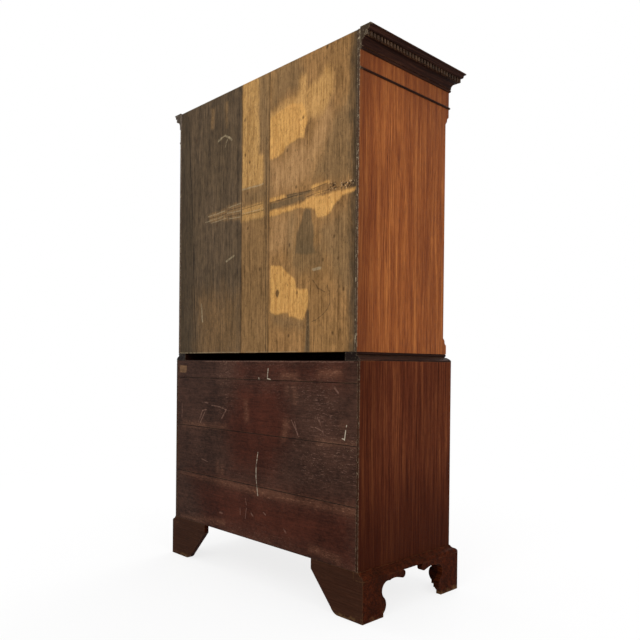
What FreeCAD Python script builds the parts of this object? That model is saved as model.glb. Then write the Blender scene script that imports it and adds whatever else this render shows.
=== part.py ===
import FreeCAD, Part
import math
import os
import re

import Sketcher

# Chest on chest: a case of two short and three long drawers standing on a case of three long drawers.
# Millimetres. +X is to the right as one faces the drawers, which open towards -Y, and +Z is up.
# The origin is on the floor, midway between the sides and midway between the back and the cornice's front.

Vector = FreeCAD.Vector
Rotation = FreeCAD.Rotation
Placement = FreeCAD.Placement

SIZES = [
    # name, millimetres, what it is
    ("lower_width", 1034, "lower case over its sides"),
    ("lower_depth", 480, "lower case from front to back"),
    ("lower_height", 652, "lower case alone"),
    ("upper_height", 990, "upper case alone"),
    ("waist_step", 13, "how far the upper case stands in from the lower one"),
    ("side_thickness", 20, "case sides"),
    ("deck_thickness", 20, "top and bottom boards of each case"),
    ("back_thickness", 10, "back boards"),
    ("rebate_width", 10, "rebate in the sides that takes the back boards"),
    ("board_gap", 0.8, "shrinkage gap between back boards"),
    ("centre_board_left", -60, "left edge of the narrow upper back board"),
    ("centre_board_width", 157, "width of the narrow upper back board"),
    ("back_board_a", 76, "top board of the lower back"),
    ("back_board_b", 198, "second board of the lower back"),
    ("back_board_c", 185, "third board of the lower back"),
    # corner posts with canted, lamb's-tongue corners
    ("post_size", 40, "square corner posts of the upper case"),
    ("cant_size", 18, "how far the cant cuts into each face of the post"),
    ("cant_foot", 31, "square stretch of the post below the cant"),
    ("cant_head", 150, "square stretch of the post above the cant"),
    ("tongue_length", 25, "lamb's-tongue stop at each end of the cant"),
    # rails, runners and dustboards
    ("rail_height", 20, "drawer rails"),
    ("rail_depth", 70, "drawer rails from front to back"),
    ("housing", 5, "how deep the rails and runners are let into the sides and posts"),
    ("plinth_rail", 22, "bottom rail of the upper case"),
    ("frieze_height", 130, "frieze board above the upper drawers"),
    ("frieze_thickness", 22, "frieze board"),
    ("runner_width", 40, "drawer runners"),
    ("centre_runner_width", 80, "runner below the two short drawers"),
    ("guide_height", 15, "guides that keep the drawers straight"),
    ("dust_thickness", 8, "dustboards"),
    ("dust_groove", 6, "groove that takes the dustboards"),
    ("divider_width", 20, "upright between the short drawers"),
    ("upper_row_1", 155, "opening of the short drawers"),
    ("upper_row_2", 180, "opening of the first long drawer"),
    ("upper_row_3", 205, "opening of the second long drawer"),
    ("lower_row_1", 175, "opening of the top drawer of the lower case"),
    ("lower_row_2", 190, "opening of its middle drawer"),
    ("stop_height", 3, "drawer stops on the rails"),
    ("stop_length", 40, "drawer stops along the rail"),
    ("stop_width", 16, "drawer stops across the rail"),
    ("stop_spread", 130, "drawer stops from the middle of the drawer"),
    # mouldings
    ("cornice_projection", 43, "cornice beyond the upper case"),
    ("cornice_lip", 5, "cornice above the top board"),
    ("cornice_fillet", 4, "square edge at the top of the cornice"),
    ("cyma_height", 14, "ogee of the cornice, height"),
    ("cyma_width", 13, "ogee of the cornice, width"),
    ("dentil_height", 13, "dentils"),
    ("dentil_width", 9, "dentils"),
    ("dentil_pitch", 15.5, "dentils from one to the next"),
    ("dentil_depth", 5, "dentils proud of their strip"),
    ("dentil_strip", 2, "strip that the dentils are cut on"),
    ("dentil_seat", 22, "face behind the dentil strip, beyond the case"),
    ("soffit_height", 2, "fillet below the dentils"),
    ("cove_height", 20, "cove of the cornice, height"),
    ("cove_foot", 5, "foot of the cove beyond the case"),
    ("cove_radius", 21, "cove of the cornice"),
    ("cornice_neck", 4, "fillet between the cove and its bead"),
    ("cornice_bead", 10, "bead at the foot of the cornice"),
    ("cornice_bead_radius", 5.5, "roundness of that bead"),
    ("cornice_quirk", 2, "straight part of that bead behind its round"),
    ("frieze_bead", 8, "bead below the frieze"),
    ("frieze_bead_radius", 4.5, "roundness of that bead"),
    ("frieze_bead_neck", 1.5, "straight part of that bead behind its round"),
    ("frieze_bead_rise", 8, "bead above the drawers' opening"),
    ("waist_height", 28, "moulded frame between the cases"),
    ("waist_frame", 50, "that frame under the upper case"),
    ("waist_edge", 5, "square edge of the waist moulding"),
    ("waist_slope", 12, "sloping part of the waist moulding"),
    ("waist_quirk", 3, "quirk of the waist moulding behind the upper case's face"),
    ("waist_slope_radius", 30, "roundness of the slope"),
    ("waist_listel", 1, "flat between the slope and the bead"),
    ("waist_bead_radius", 6, "roundness of the bead on the waist moulding"),
    ("base_height", 25, "moulded frame under the lower case"),
    ("base_frame", 18, "that frame under the case side"),
    ("base_projection", 22, "base moulding beyond the lower case"),
    ("base_edge", 5, "square edge of the base moulding"),
    ("base_quirk", 3, "step at the top of the base moulding"),
    ("base_curve", 14, "hollow and round of the base moulding"),
    # bracket feet
    ("foot_height", 130, "bracket feet under the base moulding"),
    ("bracket_thickness", 20, "bracket boards"),
    ("bracket_toe", 98, "width of a shaped bracket on the floor"),
    ("bracket_toe_height", 12, "upright edge at the floor"),
    ("bracket_waist", 101, "width where the toe ends and the throat begins"),
    ("bracket_waist_height", 61, "height of that place"),
    ("bracket_belly_radius", 32, "swelled toe"),
    ("bracket_arch", 128, "width where the throat ends and the crown begins"),
    ("bracket_arch_height", 110, "height of that place"),
    ("bracket_throat_radius", 28.5, "hollow throat"),
    ("bracket_crown", 170, "width where the crown turns down to the cusp"),
    ("bracket_crown_height", 111, "height of that place"),
    ("bracket_crown_radius", 70, "crown of the arch"),
    ("bracket_cusp", 192, "tip of the cusp from the corner"),
    ("bracket_cusp_height", 105, "height of the cusp's tip"),
    ("bracket_reach", 207, "whole width of a shaped bracket"),
    ("bracket_nose_height", 115, "height of the cusp's nose"),
    ("bracket_nose_radius", 12, "nose of the cusp"),
    ("bracket_shoulder", 196, "width where the nose meets the moulding"),
    ("back_bracket_toe", 108, "plain back bracket on the floor"),
    ("back_bracket_corner", 30, "worn corner of the back bracket, across"),
    ("back_bracket_rise", 19, "worn corner of the back bracket, up"),
    ("back_bracket_radius", 40, "roundness of that corner"),
    ("back_bracket_reach", 232, "plain back bracket, whole width"),
    ("back_bracket_shoulder", 122, "height where its slope ends"),
    ("block_size", 40, "glue blocks behind the brackets"),
    ("block_clearance", 4, "glue blocks above the floor"),
    # drawers
    ("drawer_gap", 1.5, "drawer to the opening at the sides and above"),
    ("slide_gap", 0.3, "drawer above its runners"),
    ("drawer_clearance", 15, "drawer to the back boards"),
    ("front_thickness", 20, "drawer fronts"),
    ("front_lap", 6, "drawer front left in front of the dovetails"),
    ("lining_thickness", 10, "drawer sides and backs"),
    ("lining_drop", 4, "drawer sides and backs below the top of the front"),
    ("bottom_thickness", 7, "drawer bottoms"),
    ("bottom_rise", 8, "drawer bottoms above the edges of the sides"),
    ("bottom_groove", 4, "groove that takes the drawer bottom"),
    ("dovetail_pitch", 55, "nearest spacing of the dovetails"),
    ("pin_width", 7, "pins between the dovetails"),
    ("dovetail_rake", 2, "how much a tail widens to each side"),
    ("back_housing", 3, "groove in the drawer sides that takes the drawer back"),
    ("bead_width", 3, "cock bead"),
    ("bead_proud", 2, "cock bead in front of the drawer front"),
    ("bead_depth", 5, "cock bead let into the drawer front"),
    # brasses
    ("handle_spread", 275, "handles from the middle of a long drawer"),
    ("handle_drop", 6, "handle posts below the middle of the front"),
    ("post_spread", 45, "posts from the middle of the handle"),
    ("post_radius", 5, "posts of the handles, to their flats"),
    ("post_length", 17, "posts in front of the drawer"),
    ("pivot_offset", 11.5, "hinge line of the bail in front of the drawer"),
    ("rose_radius", 11, "roses round the posts, to their flats"),
    ("rose_thickness", 2.5, "roses round the posts"),
    ("hinge_pin_radius", 1.8, "pins of the bails"),
    ("pin_clearance", 0.06, "pins in their holes, radial"),
    ("bail_size", 4.4, "square bar of the bails"),
    ("bail_eye", 3, "end of the bar above its hinge line"),
    ("bail_clearance", 1.6, "bails beside their posts"),
    ("bail_drop", 34, "bails below their hinge line"),
    ("neck_radius", 18, "swan neck of the bail"),
    ("shoulder_radius", 12, "shoulder of the bail"),
    ("pin_reach", 3, "pins of the bails past the middle of the post"),
    ("lock_width", 60, "drawer locks"),
    ("lock_height", 38, "drawer locks"),
    ("lock_depth", 10, "drawer locks"),
    ("lock_drop", 6, "drawer locks below the top of the front"),
    ("keyhole_drop", 30, "keyholes below the top of the front"),
    ("keyhole_radius", 2.6, "round part of the keyhole"),
    ("keyhole_slot", 2.4, "slot of the keyhole"),
    ("keyhole_length", 9, "slot of the keyhole, length"),
    ("escutcheon_wall", 1.4, "brass lining round the keyhole"),
    ("escutcheon_depth", 3, "lining let into the drawer front"),
    ("escutcheon_proud", 0.4, "lining in front of the drawer front"),
]

DERIVED = {
    "half_lower": "lower_width / 2",
    "half_upper": "half_lower - waist_step",
    "upper_depth": "lower_depth - waist_step",
    "back": "(upper_depth + cornice_projection) / 2",
    "lining_back": "back - back_thickness",
    "lower_front": "back - lower_depth",
    "upper_front": "back - upper_depth",
    "lower_bottom": "foot_height + base_height",
    "lower_top": "lower_bottom + lower_height",
    "upper_bottom": "lower_top + waist_height",
    "upper_top": "upper_bottom + upper_height",
    "cornice_top": "upper_top + cornice_lip",
    "lower_inside": "half_lower - side_thickness",
    "upper_inside": "half_upper - side_thickness",
    "upper_opening": "half_upper - post_size",
    "upper_ceiling": "upper_top - frieze_height",
    "upper_floor_1": "upper_ceiling - upper_row_1",
    "upper_floor_2": "upper_floor_1 - rail_height - upper_row_2",
    "upper_floor_3": "upper_floor_2 - rail_height - upper_row_3",
    "upper_floor_4": "upper_bottom + plinth_rail",
    "lower_ceiling": "lower_top - rail_height",
    "lower_floor_1": "lower_ceiling - lower_row_1",
    "lower_floor_2": "lower_floor_1 - rail_height - lower_row_2",
    "lower_floor_3": "lower_bottom + rail_height",
    "cyma_foot": "cornice_projection - cyma_width",
    "cyma_radius": "(cyma_height ^ 2 + cyma_width ^ 2) / (4 * cyma_width)",
    "tongue_depth": "cant_size / sqrt(2)",
    "tongue_radius": "(tongue_length ^ 2 + tongue_depth ^ 2) / (4 * tongue_depth)",
    "base_outer": "base_frame + base_projection",
    "foot_side": "half_lower + base_projection",
    "foot_front": "lower_front - base_projection",
}

NECK_BENDS = 2
SHOULDER_BENDS = 3

doc = FreeCAD.newDocument("ChestOnChest")
sheet = doc.addObject("Spreadsheet::Sheet", "Sizes")
NAMES = {name for name, _, _ in SIZES}
nodes = {}


def fill_sheet():
    """Writes the driving dimensions into the sheet, one to a row."""
    for row, (name, number, note) in enumerate(SIZES, 1):
        sheet.set(f"A{row}", name)
        sheet.set(f"B{row}", str(number))
        sheet.setAlias(f"B{row}", name)
        sheet.set(f"C{row}", note)
    doc.recompute()


def formula(text):
    """A FreeCAD expression: each name becomes its cell, or the formula that it stands for."""

    def swap(match):
        word = match.group()
        if word in DERIVED:
            return "(" + formula(DERIVED[word]) + ")"
        return "Sizes." + word if word in NAMES else word

    return re.sub(r"[a-z][a-z_0-9]*", swap, text)


def value(text):
    return float(sheet.evalExpression(formula(text)))


def bind(thing, name, text):
    thing.setExpression(name, formula(text))


def place(thing, x, y, z, turn=None):
    """Puts a piece at a bound position, turned about Z by a plain angle or by a Rotation."""
    rotation = turn if isinstance(turn, Rotation) else Rotation(Vector(0, 0, 1), turn or 0)
    thing.Placement = Placement(Vector(value(x), value(y), value(z)), rotation)
    for axis, text in zip("xyz", (x, y, z)):
        bind(thing, "Placement.Base." + axis, text)
    return thing


def node(label, pieces):
    """One named sub-part: a single piece, or several loose solids of one kind."""
    if len(pieces) == 1:
        thing = pieces[0]
    else:
        thing = doc.addObject("Part::Compound", label)
        thing.Links = pieces
    thing.Label = label
    nodes[label] = thing


def board(name, x, y, z):
    """A plain board between bound limits, each a (low, high) pair."""
    box = doc.addObject("Part::Box", name)
    for side, (low, high) in zip(("Length", "Width", "Height"), (x, y, z)):
        bind(box, side, f"({high}) - ({low})")
    return place(box, x[0], y[0], z[0])


def hexagon_bar(name, radius, length, x, y, z, direction):
    """A six-sided bar from a bound point along a direction; the radius is to its flats."""
    bar = doc.addObject("Part::Prism", name)
    bar.Polygon = 6
    bind(bar, "Circumradius", f"({radius}) / cos(30 deg)")
    bind(bar, "Height", length)
    return place(bar, x, y, z, Rotation(Vector(0, 0, 1), direction) * Rotation(Vector(0, 0, 1), 30))


def cut(name, base, tools):
    """The base with every tool's shape taken out of it."""
    if not tools:
        return base
    result = doc.addObject("Part::Cut", name)
    result.Base = base
    if len(tools) == 1:
        result.Tool = tools[0]
    else:
        result.Tool = doc.addObject("Part::Compound", name + "_tools")
        result.Tool.Links = tools
    return result


def origin_part(body, role):
    return next(part for part in body.Origin.OriginFeatures if part.Role == role)


def new_sketch(body, plane, name):
    """A sketch on one of the body's own origin planes, or a loose one where body is None."""
    if body is None:
        return doc.addObject("Sketcher::SketchObject", name)
    sketch = body.newObject("Sketcher::SketchObject", name)
    sketch.AttachmentSupport = [(origin_part(body, plane), "")]
    sketch.MapMode = "FlatFace"
    return sketch


def pin_point(sketch, piece, end, u, v):
    """Ties one end of a sketch line or arc to bound coordinates."""
    for kind, text, axis in (("DistanceX", u, -2), ("DistanceY", v, -1)):
        if text == "0":
            sketch.addConstraint(Sketcher.Constraint("PointOnObject", piece, end, axis))
        else:
            index = sketch.addConstraint(Sketcher.Constraint(kind, -1, 1, piece, end, value(text)))
            bind(sketch, f"Constraints[{index}]", text)


def arc_between(start, end, radius, bulge):
    """The short arc from start to end that bulges to the left or right of the way it goes."""
    chord = end - start
    left = Vector(-chord.y, chord.x, 0).normalize()
    rise = math.sqrt(max(radius ** 2 - chord.Length ** 2 / 4, 0))
    side = -1 if bulge == "left" else 1
    centre = (start + end) / 2 + left * side * rise
    first, last = (end, start) if bulge == "left" else (start, end)
    angles = [math.atan2(point.y - centre.y, point.x - centre.x) for point in (first, last)]
    if angles[1] < angles[0]:
        angles[1] += 2 * math.pi
    return Part.ArcOfCircle(Part.Circle(centre, Vector(0, 0, 1), radius), *angles)


def draw_loop(sketch, corners):
    """A closed outline. A corner is (u, v), or (u, v, radius, bulge) where an arc leads to the next."""
    first = sketch.GeometryCount
    count = len(corners)
    points = [Vector(value(corner[0]), value(corner[1]), 0) for corner in corners]
    ends = []
    for number, corner in enumerate(corners):
        start, end = points[number], points[(number + 1) % count]
        if len(corner) == 2:
            sketch.addGeometry(Part.LineSegment(start, end), False)
            ends.append((1, 2))
        else:
            sketch.addGeometry(arc_between(start, end, value(corner[2]), corner[3]), False)
            ends.append((2, 1) if corner[3] == "left" else (1, 2))
    for number, corner in enumerate(corners):
        following = (number + 1) % count
        joint = (first + number, ends[number][1], first + following, ends[following][0])
        sketch.addConstraint(Sketcher.Constraint("Coincident", *joint))
        pin_point(sketch, first + number, ends[number][0], corner[0], corner[1])
        if len(corner) == 4:
            index = sketch.addConstraint(Sketcher.Constraint("Radius", first + number, value(corner[2])))
            bind(sketch, f"Constraints[{index}]", corner[2])
    return sketch


def draw_run(sketch, points):
    """An open run of straight lines through bound points."""
    places = [Vector(value(u), value(v), 0) for u, v in points]
    for number, ends in enumerate(zip(places, places[1:])):
        sketch.addGeometry(Part.LineSegment(*ends), False)
        pin_point(sketch, number, 1, *points[number])
        if number:
            sketch.addConstraint(Sketcher.Constraint("Coincident", number - 1, 2, number, 1))
    pin_point(sketch, len(points) - 2, 2, *points[-1])


def rectangle(u, v):
    return [(u[0], v[0]), (u[1], v[0]), (u[1], v[1]), (u[0], v[1])]


def pad(body, sketch, length, backwards=False):
    feature = body.newObject("PartDesign::Pad", sketch.Name + "_pad")
    feature.Profile = sketch
    feature.Reversed = backwards
    bind(feature, "Length", length)
    return feature


def pocket_through(body, sketch):
    """Cuts a sketch out of the body, both ways and all through."""
    feature = body.newObject("PartDesign::Pocket", sketch.Name + "_pocket")
    feature.Profile = sketch
    feature.Type = "ThroughAll"
    feature.SideType = "Symmetric"
    return feature


def repeat(body, feature, axis, spacing, count):
    """Repeats a feature along one of the body's axes."""
    pattern = body.newObject("PartDesign::LinearPattern", feature.Name + "_row")
    pattern.Originals = [feature]
    pattern.Direction = (origin_part(body, axis), [""])
    pattern.Mode = "Spacing"
    bind(pattern, "Offset", spacing)
    bind(pattern, "Occurrences", count)
    body.Tip = pattern
    return pattern


def padded_body(name, plane, corners, length, backwards=False):
    """A body that is one padded outline."""
    body = doc.addObject("PartDesign::Body", name)
    sketch = draw_loop(new_sketch(body, plane, name + "_outline"), corners)
    pad(body, sketch, length, backwards)
    return body


# ---------------------------------------------------------------- mouldings


def moulding_piece(name, profile, width, length, mitred_ends):
    """One length of moulding along its own -Y, its back edge on Z, mitred at the ends that are named."""
    body = padded_body(name, "XZ_Plane", profile, length)
    for end in mitred_ends:
        sketch = new_sketch(body, "XY_Plane", name + "_" + end + "_mitre")
        if end == "near":
            corners = [("0", "0"), ("0", f"-({width})"), (width, "0")]
        else:
            corners = [("0", f"({width}) - ({length})"), (width, f"-({length})"), ("0", f"-({length})")]
        pocket_through(body, draw_loop(sketch, corners))
    return body


def moulding_frame(label, profile, half, front, z, inner, width):
    """Front and two side lengths round a case: half and front are its faces, inner is how far the
    moulding reaches behind them, and width is the moulding's whole width."""
    corner = f"{half} - {inner}"
    side_length = f"back - ({front}) - ({inner}) + ({width})"
    front_length = f"2 * ({corner} + {width})"
    right = moulding_piece(label + "_right", profile, width, side_length, ["far"])
    place(right, corner, "back", z)
    left = moulding_piece(label + "_left", profile, width, side_length, ["near"])
    place(left, f"-({corner})", f"{front} + {inner} - ({width})", z, 180)
    middle = moulding_piece(label + "_front", profile, width, front_length, ["near", "far"])
    place(middle, f"{corner} + {width}", f"{front} + {inner}", z, -90)
    node(label, [middle, left, right])


def cornice():
    """Ogee above the dentils, cove and bead below them. Heights run down from the top."""
    depth = "0"
    levels = []
    for step in ("cornice_fillet", "cyma_height", "dentil_height", "soffit_height", "cove_height",
                 "cornice_neck", "cornice_bead"):
        depth = f"{depth} - {step}" if levels else f"-{step}"
        levels.append(depth)
    fillet, cyma, dentil, soffit, cove, neck, foot = levels
    ledge = "dentil_seat + dentil_strip"
    profile = [
        ("0", "0"),
        ("0", foot),
        ("cornice_quirk", foot, "cornice_bead_radius", "right"),
        ("cornice_quirk", neck),
        ("cove_foot", neck),
        ("cove_foot", cove, "cove_radius", "left"),
        (ledge, soffit),
        (ledge, dentil),
        ("dentil_seat", dentil),
        ("dentil_seat", cyma),
        ("cyma_foot", cyma, "cyma_radius", "right"),
        ("cyma_foot + cyma_width / 2", f"{cyma} + cyma_height / 2", "cyma_radius", "left"),
        ("cornice_projection", fillet),
        ("cornice_projection", "0"),
    ]
    moulding_frame("cornice_moulding", profile, "half_upper", "upper_front", "cornice_top", "0",
                   "cornice_projection")


def dentil_run(name, strip, first, last):
    """A strip along +X with a row of dentils on its -Y face, from first to last along it."""
    body = doc.addObject("PartDesign::Body", name)
    backing = new_sketch(body, "XZ_Plane", name + "_backing")
    pad(body, draw_loop(backing, rectangle(("0", strip), ("-dentil_height", "0"))), "dentil_strip")
    tooth = new_sketch(body, "XZ_Plane", name + "_tooth")
    draw_loop(tooth, rectangle((first, f"{first} + dentil_width"), ("-dentil_height", "0")))
    run = f"(({last}) - ({first}) - dentil_width)"
    count = f"floor({run} / dentil_pitch)"
    repeat(body, pad(body, tooth, "dentil_strip + dentil_depth"), "X_Axis", f"{run} / {count}", f"{count} + 1")
    return body


def dentils():
    """Dentil strips along the front and both sides, with a dentil on each corner."""
    top = "cornice_top - cornice_fillet - cyma_height"
    face = "dentil_seat + dentil_strip"
    strip = f"2 * (half_upper + {face})"
    front = dentil_run("dentils_front", strip, "-dentil_depth", f"{strip} + dentil_depth")
    place(front, f"-(half_upper + {face})", "upper_front - dentil_seat", top)
    side = "back - upper_front + dentil_seat"
    right = dentil_run("dentils_right", side, "dentil_pitch - dentil_width", side)
    place(right, "half_upper + dentil_seat", "upper_front - dentil_seat", top, 90)
    node("dentil_strips", [front, right, mirrored("dentils_left", right)])


def beads_and_frames():
    """Frieze bead, waist moulding and base moulding."""
    bead = [
        ("0", "0"),
        ("frieze_bead_neck", "0", "frieze_bead_radius", "right"),
        ("frieze_bead_neck", "frieze_bead"),
        ("0", "frieze_bead"),
    ]
    moulding_frame("frieze_bead_moulding", bead, "half_upper", "upper_front", "upper_ceiling + frieze_bead_rise",
                   "0", "frieze_bead")
    waist_width = "waist_frame + waist_step"
    quirk = "waist_frame - waist_quirk"
    waist = [
        ("0", "0"),
        (waist_width, "0"),
        (waist_width, "waist_edge", "waist_slope_radius", "right"),
        (quirk, "waist_edge + waist_slope"),
        (quirk, "waist_edge + waist_slope + waist_listel", "waist_bead_radius", "right"),
        (quirk, "waist_height"),
        ("0", "waist_height"),
    ]
    moulding_frame("waist_moulding", waist, "half_upper", "upper_front", "lower_top", "waist_frame", waist_width)
    base = [
        ("0", "0"),
        ("base_outer", "0"),
        ("base_outer", "base_edge", "base_curve", "right"),
        ("base_frame + (base_projection + base_quirk) / 2", "(base_height + base_edge) / 2", "base_curve", "left"),
        ("base_frame + base_quirk", "base_height"),
        ("0", "base_height"),
    ]
    moulding_frame("base_moulding", base, "half_lower", "lower_front", "foot_height", "base_frame", "base_outer")


# ---------------------------------------------------------------- cases


def drawer_level(prefix, floor, inside, opening, front, centre_runner):
    """Rail, runners and dustboards under one row of drawers; floor is the top of the rail."""
    z = (f"{floor} - rail_height", floor)
    rail_back = f"{front} + rail_depth"
    middle = f"{floor} - rail_height / 2"
    edge = f"{inside} - runner_width"
    dust_y = (f"{rail_back} - dust_groove", "lining_back")
    dust_z = (f"{middle} - dust_thickness / 2", f"{middle} + dust_thickness / 2")
    reach = f"{edge} + dust_groove"
    dust = []
    if centre_runner:
        inner = "centre_runner_width / 2 - dust_groove"
        dust.append(board(prefix + "_dustboard_left", (f"-({reach})", f"-({inner})"), dust_y, dust_z))
        dust.append(board(prefix + "_dustboard_right", (inner, reach), dust_y, dust_z))
    else:
        dust.append(board(prefix + "_dustboard", (f"-({reach})", reach), dust_y, dust_z))
    rail_box = board(prefix + "_rail_blank", (f"-({opening} + housing)", f"{opening} + housing"),
                     (front, rail_back), z)
    rail = cut(prefix + "_rail", rail_box, dust)
    runners = []
    runner_y = (rail_back, "lining_back")
    seat = f"{inside} + housing"
    spans = [(f"-({seat})", f"-({edge})"), (edge, seat)]
    if centre_runner:
        spans.append(("-centre_runner_width / 2", "centre_runner_width / 2"))
    for number, span in enumerate(spans, 1):
        blank = board(f"{prefix}_runner_{number}_blank", span, runner_y, z)
        runners.append(cut(f"{prefix}_runner_{number}", blank, dust))
    return rail, runners, dust


def drawer_stops(prefix, floor, front, middles):
    """Small blocks on the rail that the drawer front closes against."""
    face = f"{front} + front_thickness + slide_gap"
    blocks = []
    for number, middle in enumerate(middles, 1):
        for side, sign in (("left", "-"), ("right", "+")):
            centre = f"{middle} {sign} stop_spread"
            blocks.append(board(f"{prefix}_stop_{number}_{side}",
                                (f"{centre} - stop_length / 2", f"{centre} + stop_length / 2"),
                                (face, f"{face} + stop_width"), (floor, f"{floor} + stop_height")))
    return blocks


def case_sides(prefix, half, inside, front, bottom, top, let_in):
    """Left and right sides: rebated for the back boards and housed for the rails and runners."""
    for side, sign in (("left", "-"), ("right", "")):
        outer, inner = f"{sign}({half})", f"{sign}({inside})"
        rebate_edge = f"{sign}({inside} + rebate_width)"
        spans = [(outer, inner), (rebate_edge, inner)]
        if not sign:
            spans = [span[::-1] for span in spans]
        blank = board(f"{prefix}_side_{side}_blank", spans[0], (front, "back"), (bottom, top))
        rebate = board(f"{prefix}_side_{side}_rebate", spans[1], ("lining_back", "back"), (bottom, top))
        node(f"{prefix}_side_{side}", [cut(f"{prefix}_side_{side}", blank, [rebate] + let_in)])


def canted_post(side, sign, let_in):
    """Square corner post whose outer corner is cut to a cant with a lamb's tongue at each end."""
    outer, inner = f"{sign}half_upper", f"{sign}upper_opening"
    span = (outer, inner) if sign else (inner, outer)
    blank = board(f"post_{side}_blank", span, ("upper_front", "upper_front + post_size"),
                  ("upper_bottom", "upper_top"))
    foot, head = "cant_foot", "upper_height - cant_head"
    middle_low, middle_high = f"{foot} + tongue_length / 2", f"{head} - tongue_length / 2"
    corners = [
        ("0", foot, "tongue_radius", "left"),
        ("-tongue_depth / 2", middle_low, "tongue_radius", "right"),
        ("-tongue_depth", f"{foot} + tongue_length"),
        ("-tongue_depth", f"{head} - tongue_length", "tongue_radius", "right"),
        ("-tongue_depth / 2", middle_high, "tongue_radius", "left"),
        ("0", head),
        ("cant_size", head),
        ("cant_size", foot),
    ]
    sketch = draw_loop(new_sketch(None, "", f"cant_{side}_outline"), corners)
    heading = -135 if sign else -45
    upright = Rotation(Vector(0, 0, 1), heading) * Rotation(Vector(1, 0, 0), 90)
    place(sketch, outer, "upper_front", "upper_bottom", upright)
    cutter = doc.addObject("Part::Extrusion", f"cant_{side}_cutter")
    cutter.Base = sketch
    cutter.DirMode = "Normal"
    cutter.Solid = True
    cutter.Symmetric = True
    bind(cutter, "LengthFwd", "2 * post_size")
    return cut(f"post_{side}", blank, [cutter] + let_in)


def upper_case():
    """Carcass of the upper case."""
    opening, inside, front = "upper_opening", "upper_inside", "upper_front"
    floors = [("upper_floor_1", True), ("upper_floor_2", False), ("upper_floor_3", False)]
    rails, runners, dust, stops = [], [], [], []
    for number, (floor, split) in enumerate(floors, 1):
        rail, row_runners, row_dust = drawer_level(f"upper_{number}", floor, inside, opening, front, split)
        rails.append(rail)
        runners += row_runners
        dust += row_dust
    plinth = board("upper_plinth_rail", (f"-({opening} + housing)", f"{opening} + housing"),
                   (front, f"{front} + rail_depth"), ("upper_bottom", "upper_floor_4"))
    rails.append(plinth)
    half_divider = "divider_width / 2"
    short_middle = f"({opening} + {half_divider}) / 2"
    divider = board("short_drawer_divider", (f"-{half_divider}", half_divider), (front, f"{front} + rail_depth"),
                    ("upper_floor_1", "upper_ceiling"))
    stops += drawer_stops("upper_1", "upper_floor_1", front, [f"-({short_middle})", short_middle])
    for number in (2, 3, 4):
        stops += drawer_stops(f"upper_{number}", f"upper_floor_{number}", front, ["0"])
    guides = []
    for number in (1, 2, 3, 4):
        floor = f"upper_floor_{number}"
        z = (floor, f"{floor} + guide_height")
        y = (f"{front} + rail_depth", "lining_back")
        guides.append(board(f"guide_{number}_left", (f"-{inside}", f"-{opening}"), y, z))
        guides.append(board(f"guide_{number}_right", (opening, inside), y, z))
    guides.append(board("guide_centre", (f"-{half_divider}", half_divider), (f"{front} + rail_depth", "lining_back"),
                        ("upper_floor_1", "upper_floor_1 + guide_height")))
    deck = board("upper_bottom_board", (f"-{inside}", inside), (f"{front} + rail_depth", "lining_back"),
                 ("upper_bottom", "upper_floor_4"))
    posts = [canted_post("left", "-", rails), canted_post("right", "", rails)]
    frieze = board("frieze_board", (f"-{opening}", opening), (front, f"{front} + frieze_thickness"),
                   ("upper_ceiling", "upper_top"))
    top_blank = board("upper_top_board_blank", (f"-{inside}", inside), (f"{front} + frieze_thickness", "lining_back"),
                      ("upper_top - deck_thickness", "upper_top"))
    top = cut("upper_top_board", top_blank, posts)
    case_sides("upper", "half_upper", inside, f"{front} + post_size", "upper_bottom", "upper_top", runners)
    node("corner_posts", posts)
    node("upper_drawer_rails", rails + [divider])
    node("frieze_board", [frieze])
    node("upper_deck_boards", [top, deck])
    left, right = "centre_board_left", "centre_board_left + centre_board_width"
    edge = f"{inside} + rebate_width"
    y, z = ("lining_back", "back"), ("upper_bottom", "upper_top")
    spans = [(f"-({edge})", f"{left} - board_gap"), (left, right), (f"{right} + board_gap", edge)]
    node("upper_back_boards", [board(f"upper_back_{number}", span, y, z) for number, span in enumerate(spans, 1)])
    return runners + guides, dust, stops


def lower_case():
    """Carcass of the lower case."""
    inside, front = "lower_inside", "lower_front"
    rails, runners, dust, stops = [], [], [], []
    for number in (1, 2):
        level = drawer_level(f"lower_{number}", f"lower_floor_{number}", inside, inside, front, False)
        rails.append(level[0])
        runners += level[1]
        dust += level[2]
    rail_x = (f"-({inside} + housing)", f"{inside} + housing")
    rail_y = (front, f"{front} + rail_depth")
    rails.append(board("lower_top_rail", rail_x, rail_y, ("lower_ceiling", "lower_top")))
    rails.append(board("lower_bottom_rail", rail_x, rail_y, ("lower_bottom", "lower_floor_3")))
    for number in (1, 2, 3):
        stops += drawer_stops(f"lower_{number}", f"lower_floor_{number}", front, ["0"])
    deck_y = (f"{front} + rail_depth", "lining_back")
    deck_x = (f"-{inside}", inside)
    node("lower_deck_boards", [
        board("lower_top_board", deck_x, deck_y, ("lower_top - deck_thickness", "lower_top")),
        board("lower_bottom_board", deck_x, deck_y, ("lower_bottom", "lower_floor_3")),
    ])
    case_sides("lower", "half_lower", inside, front, "lower_bottom", "lower_top", rails + runners)
    node("lower_drawer_rails", rails)
    heights = ["back_board_a", "back_board_b", "back_board_c"]
    edge = f"{inside} + rebate_width"
    boards = []
    top = "lower_top"
    for number, height in enumerate(heights, 1):
        bottom = f"{top} - {height}"
        boards.append(board(f"lower_back_{number}", (f"-({edge})", edge), ("lining_back", "back"),
                            (f"{bottom} + board_gap", top)))
        top = bottom
    boards.append(board("lower_back_4", (f"-({edge})", edge), ("lining_back", "back"), ("lower_bottom", top)))
    node("lower_back_boards", boards)
    return runners, dust, stops


# ---------------------------------------------------------------- feet


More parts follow.
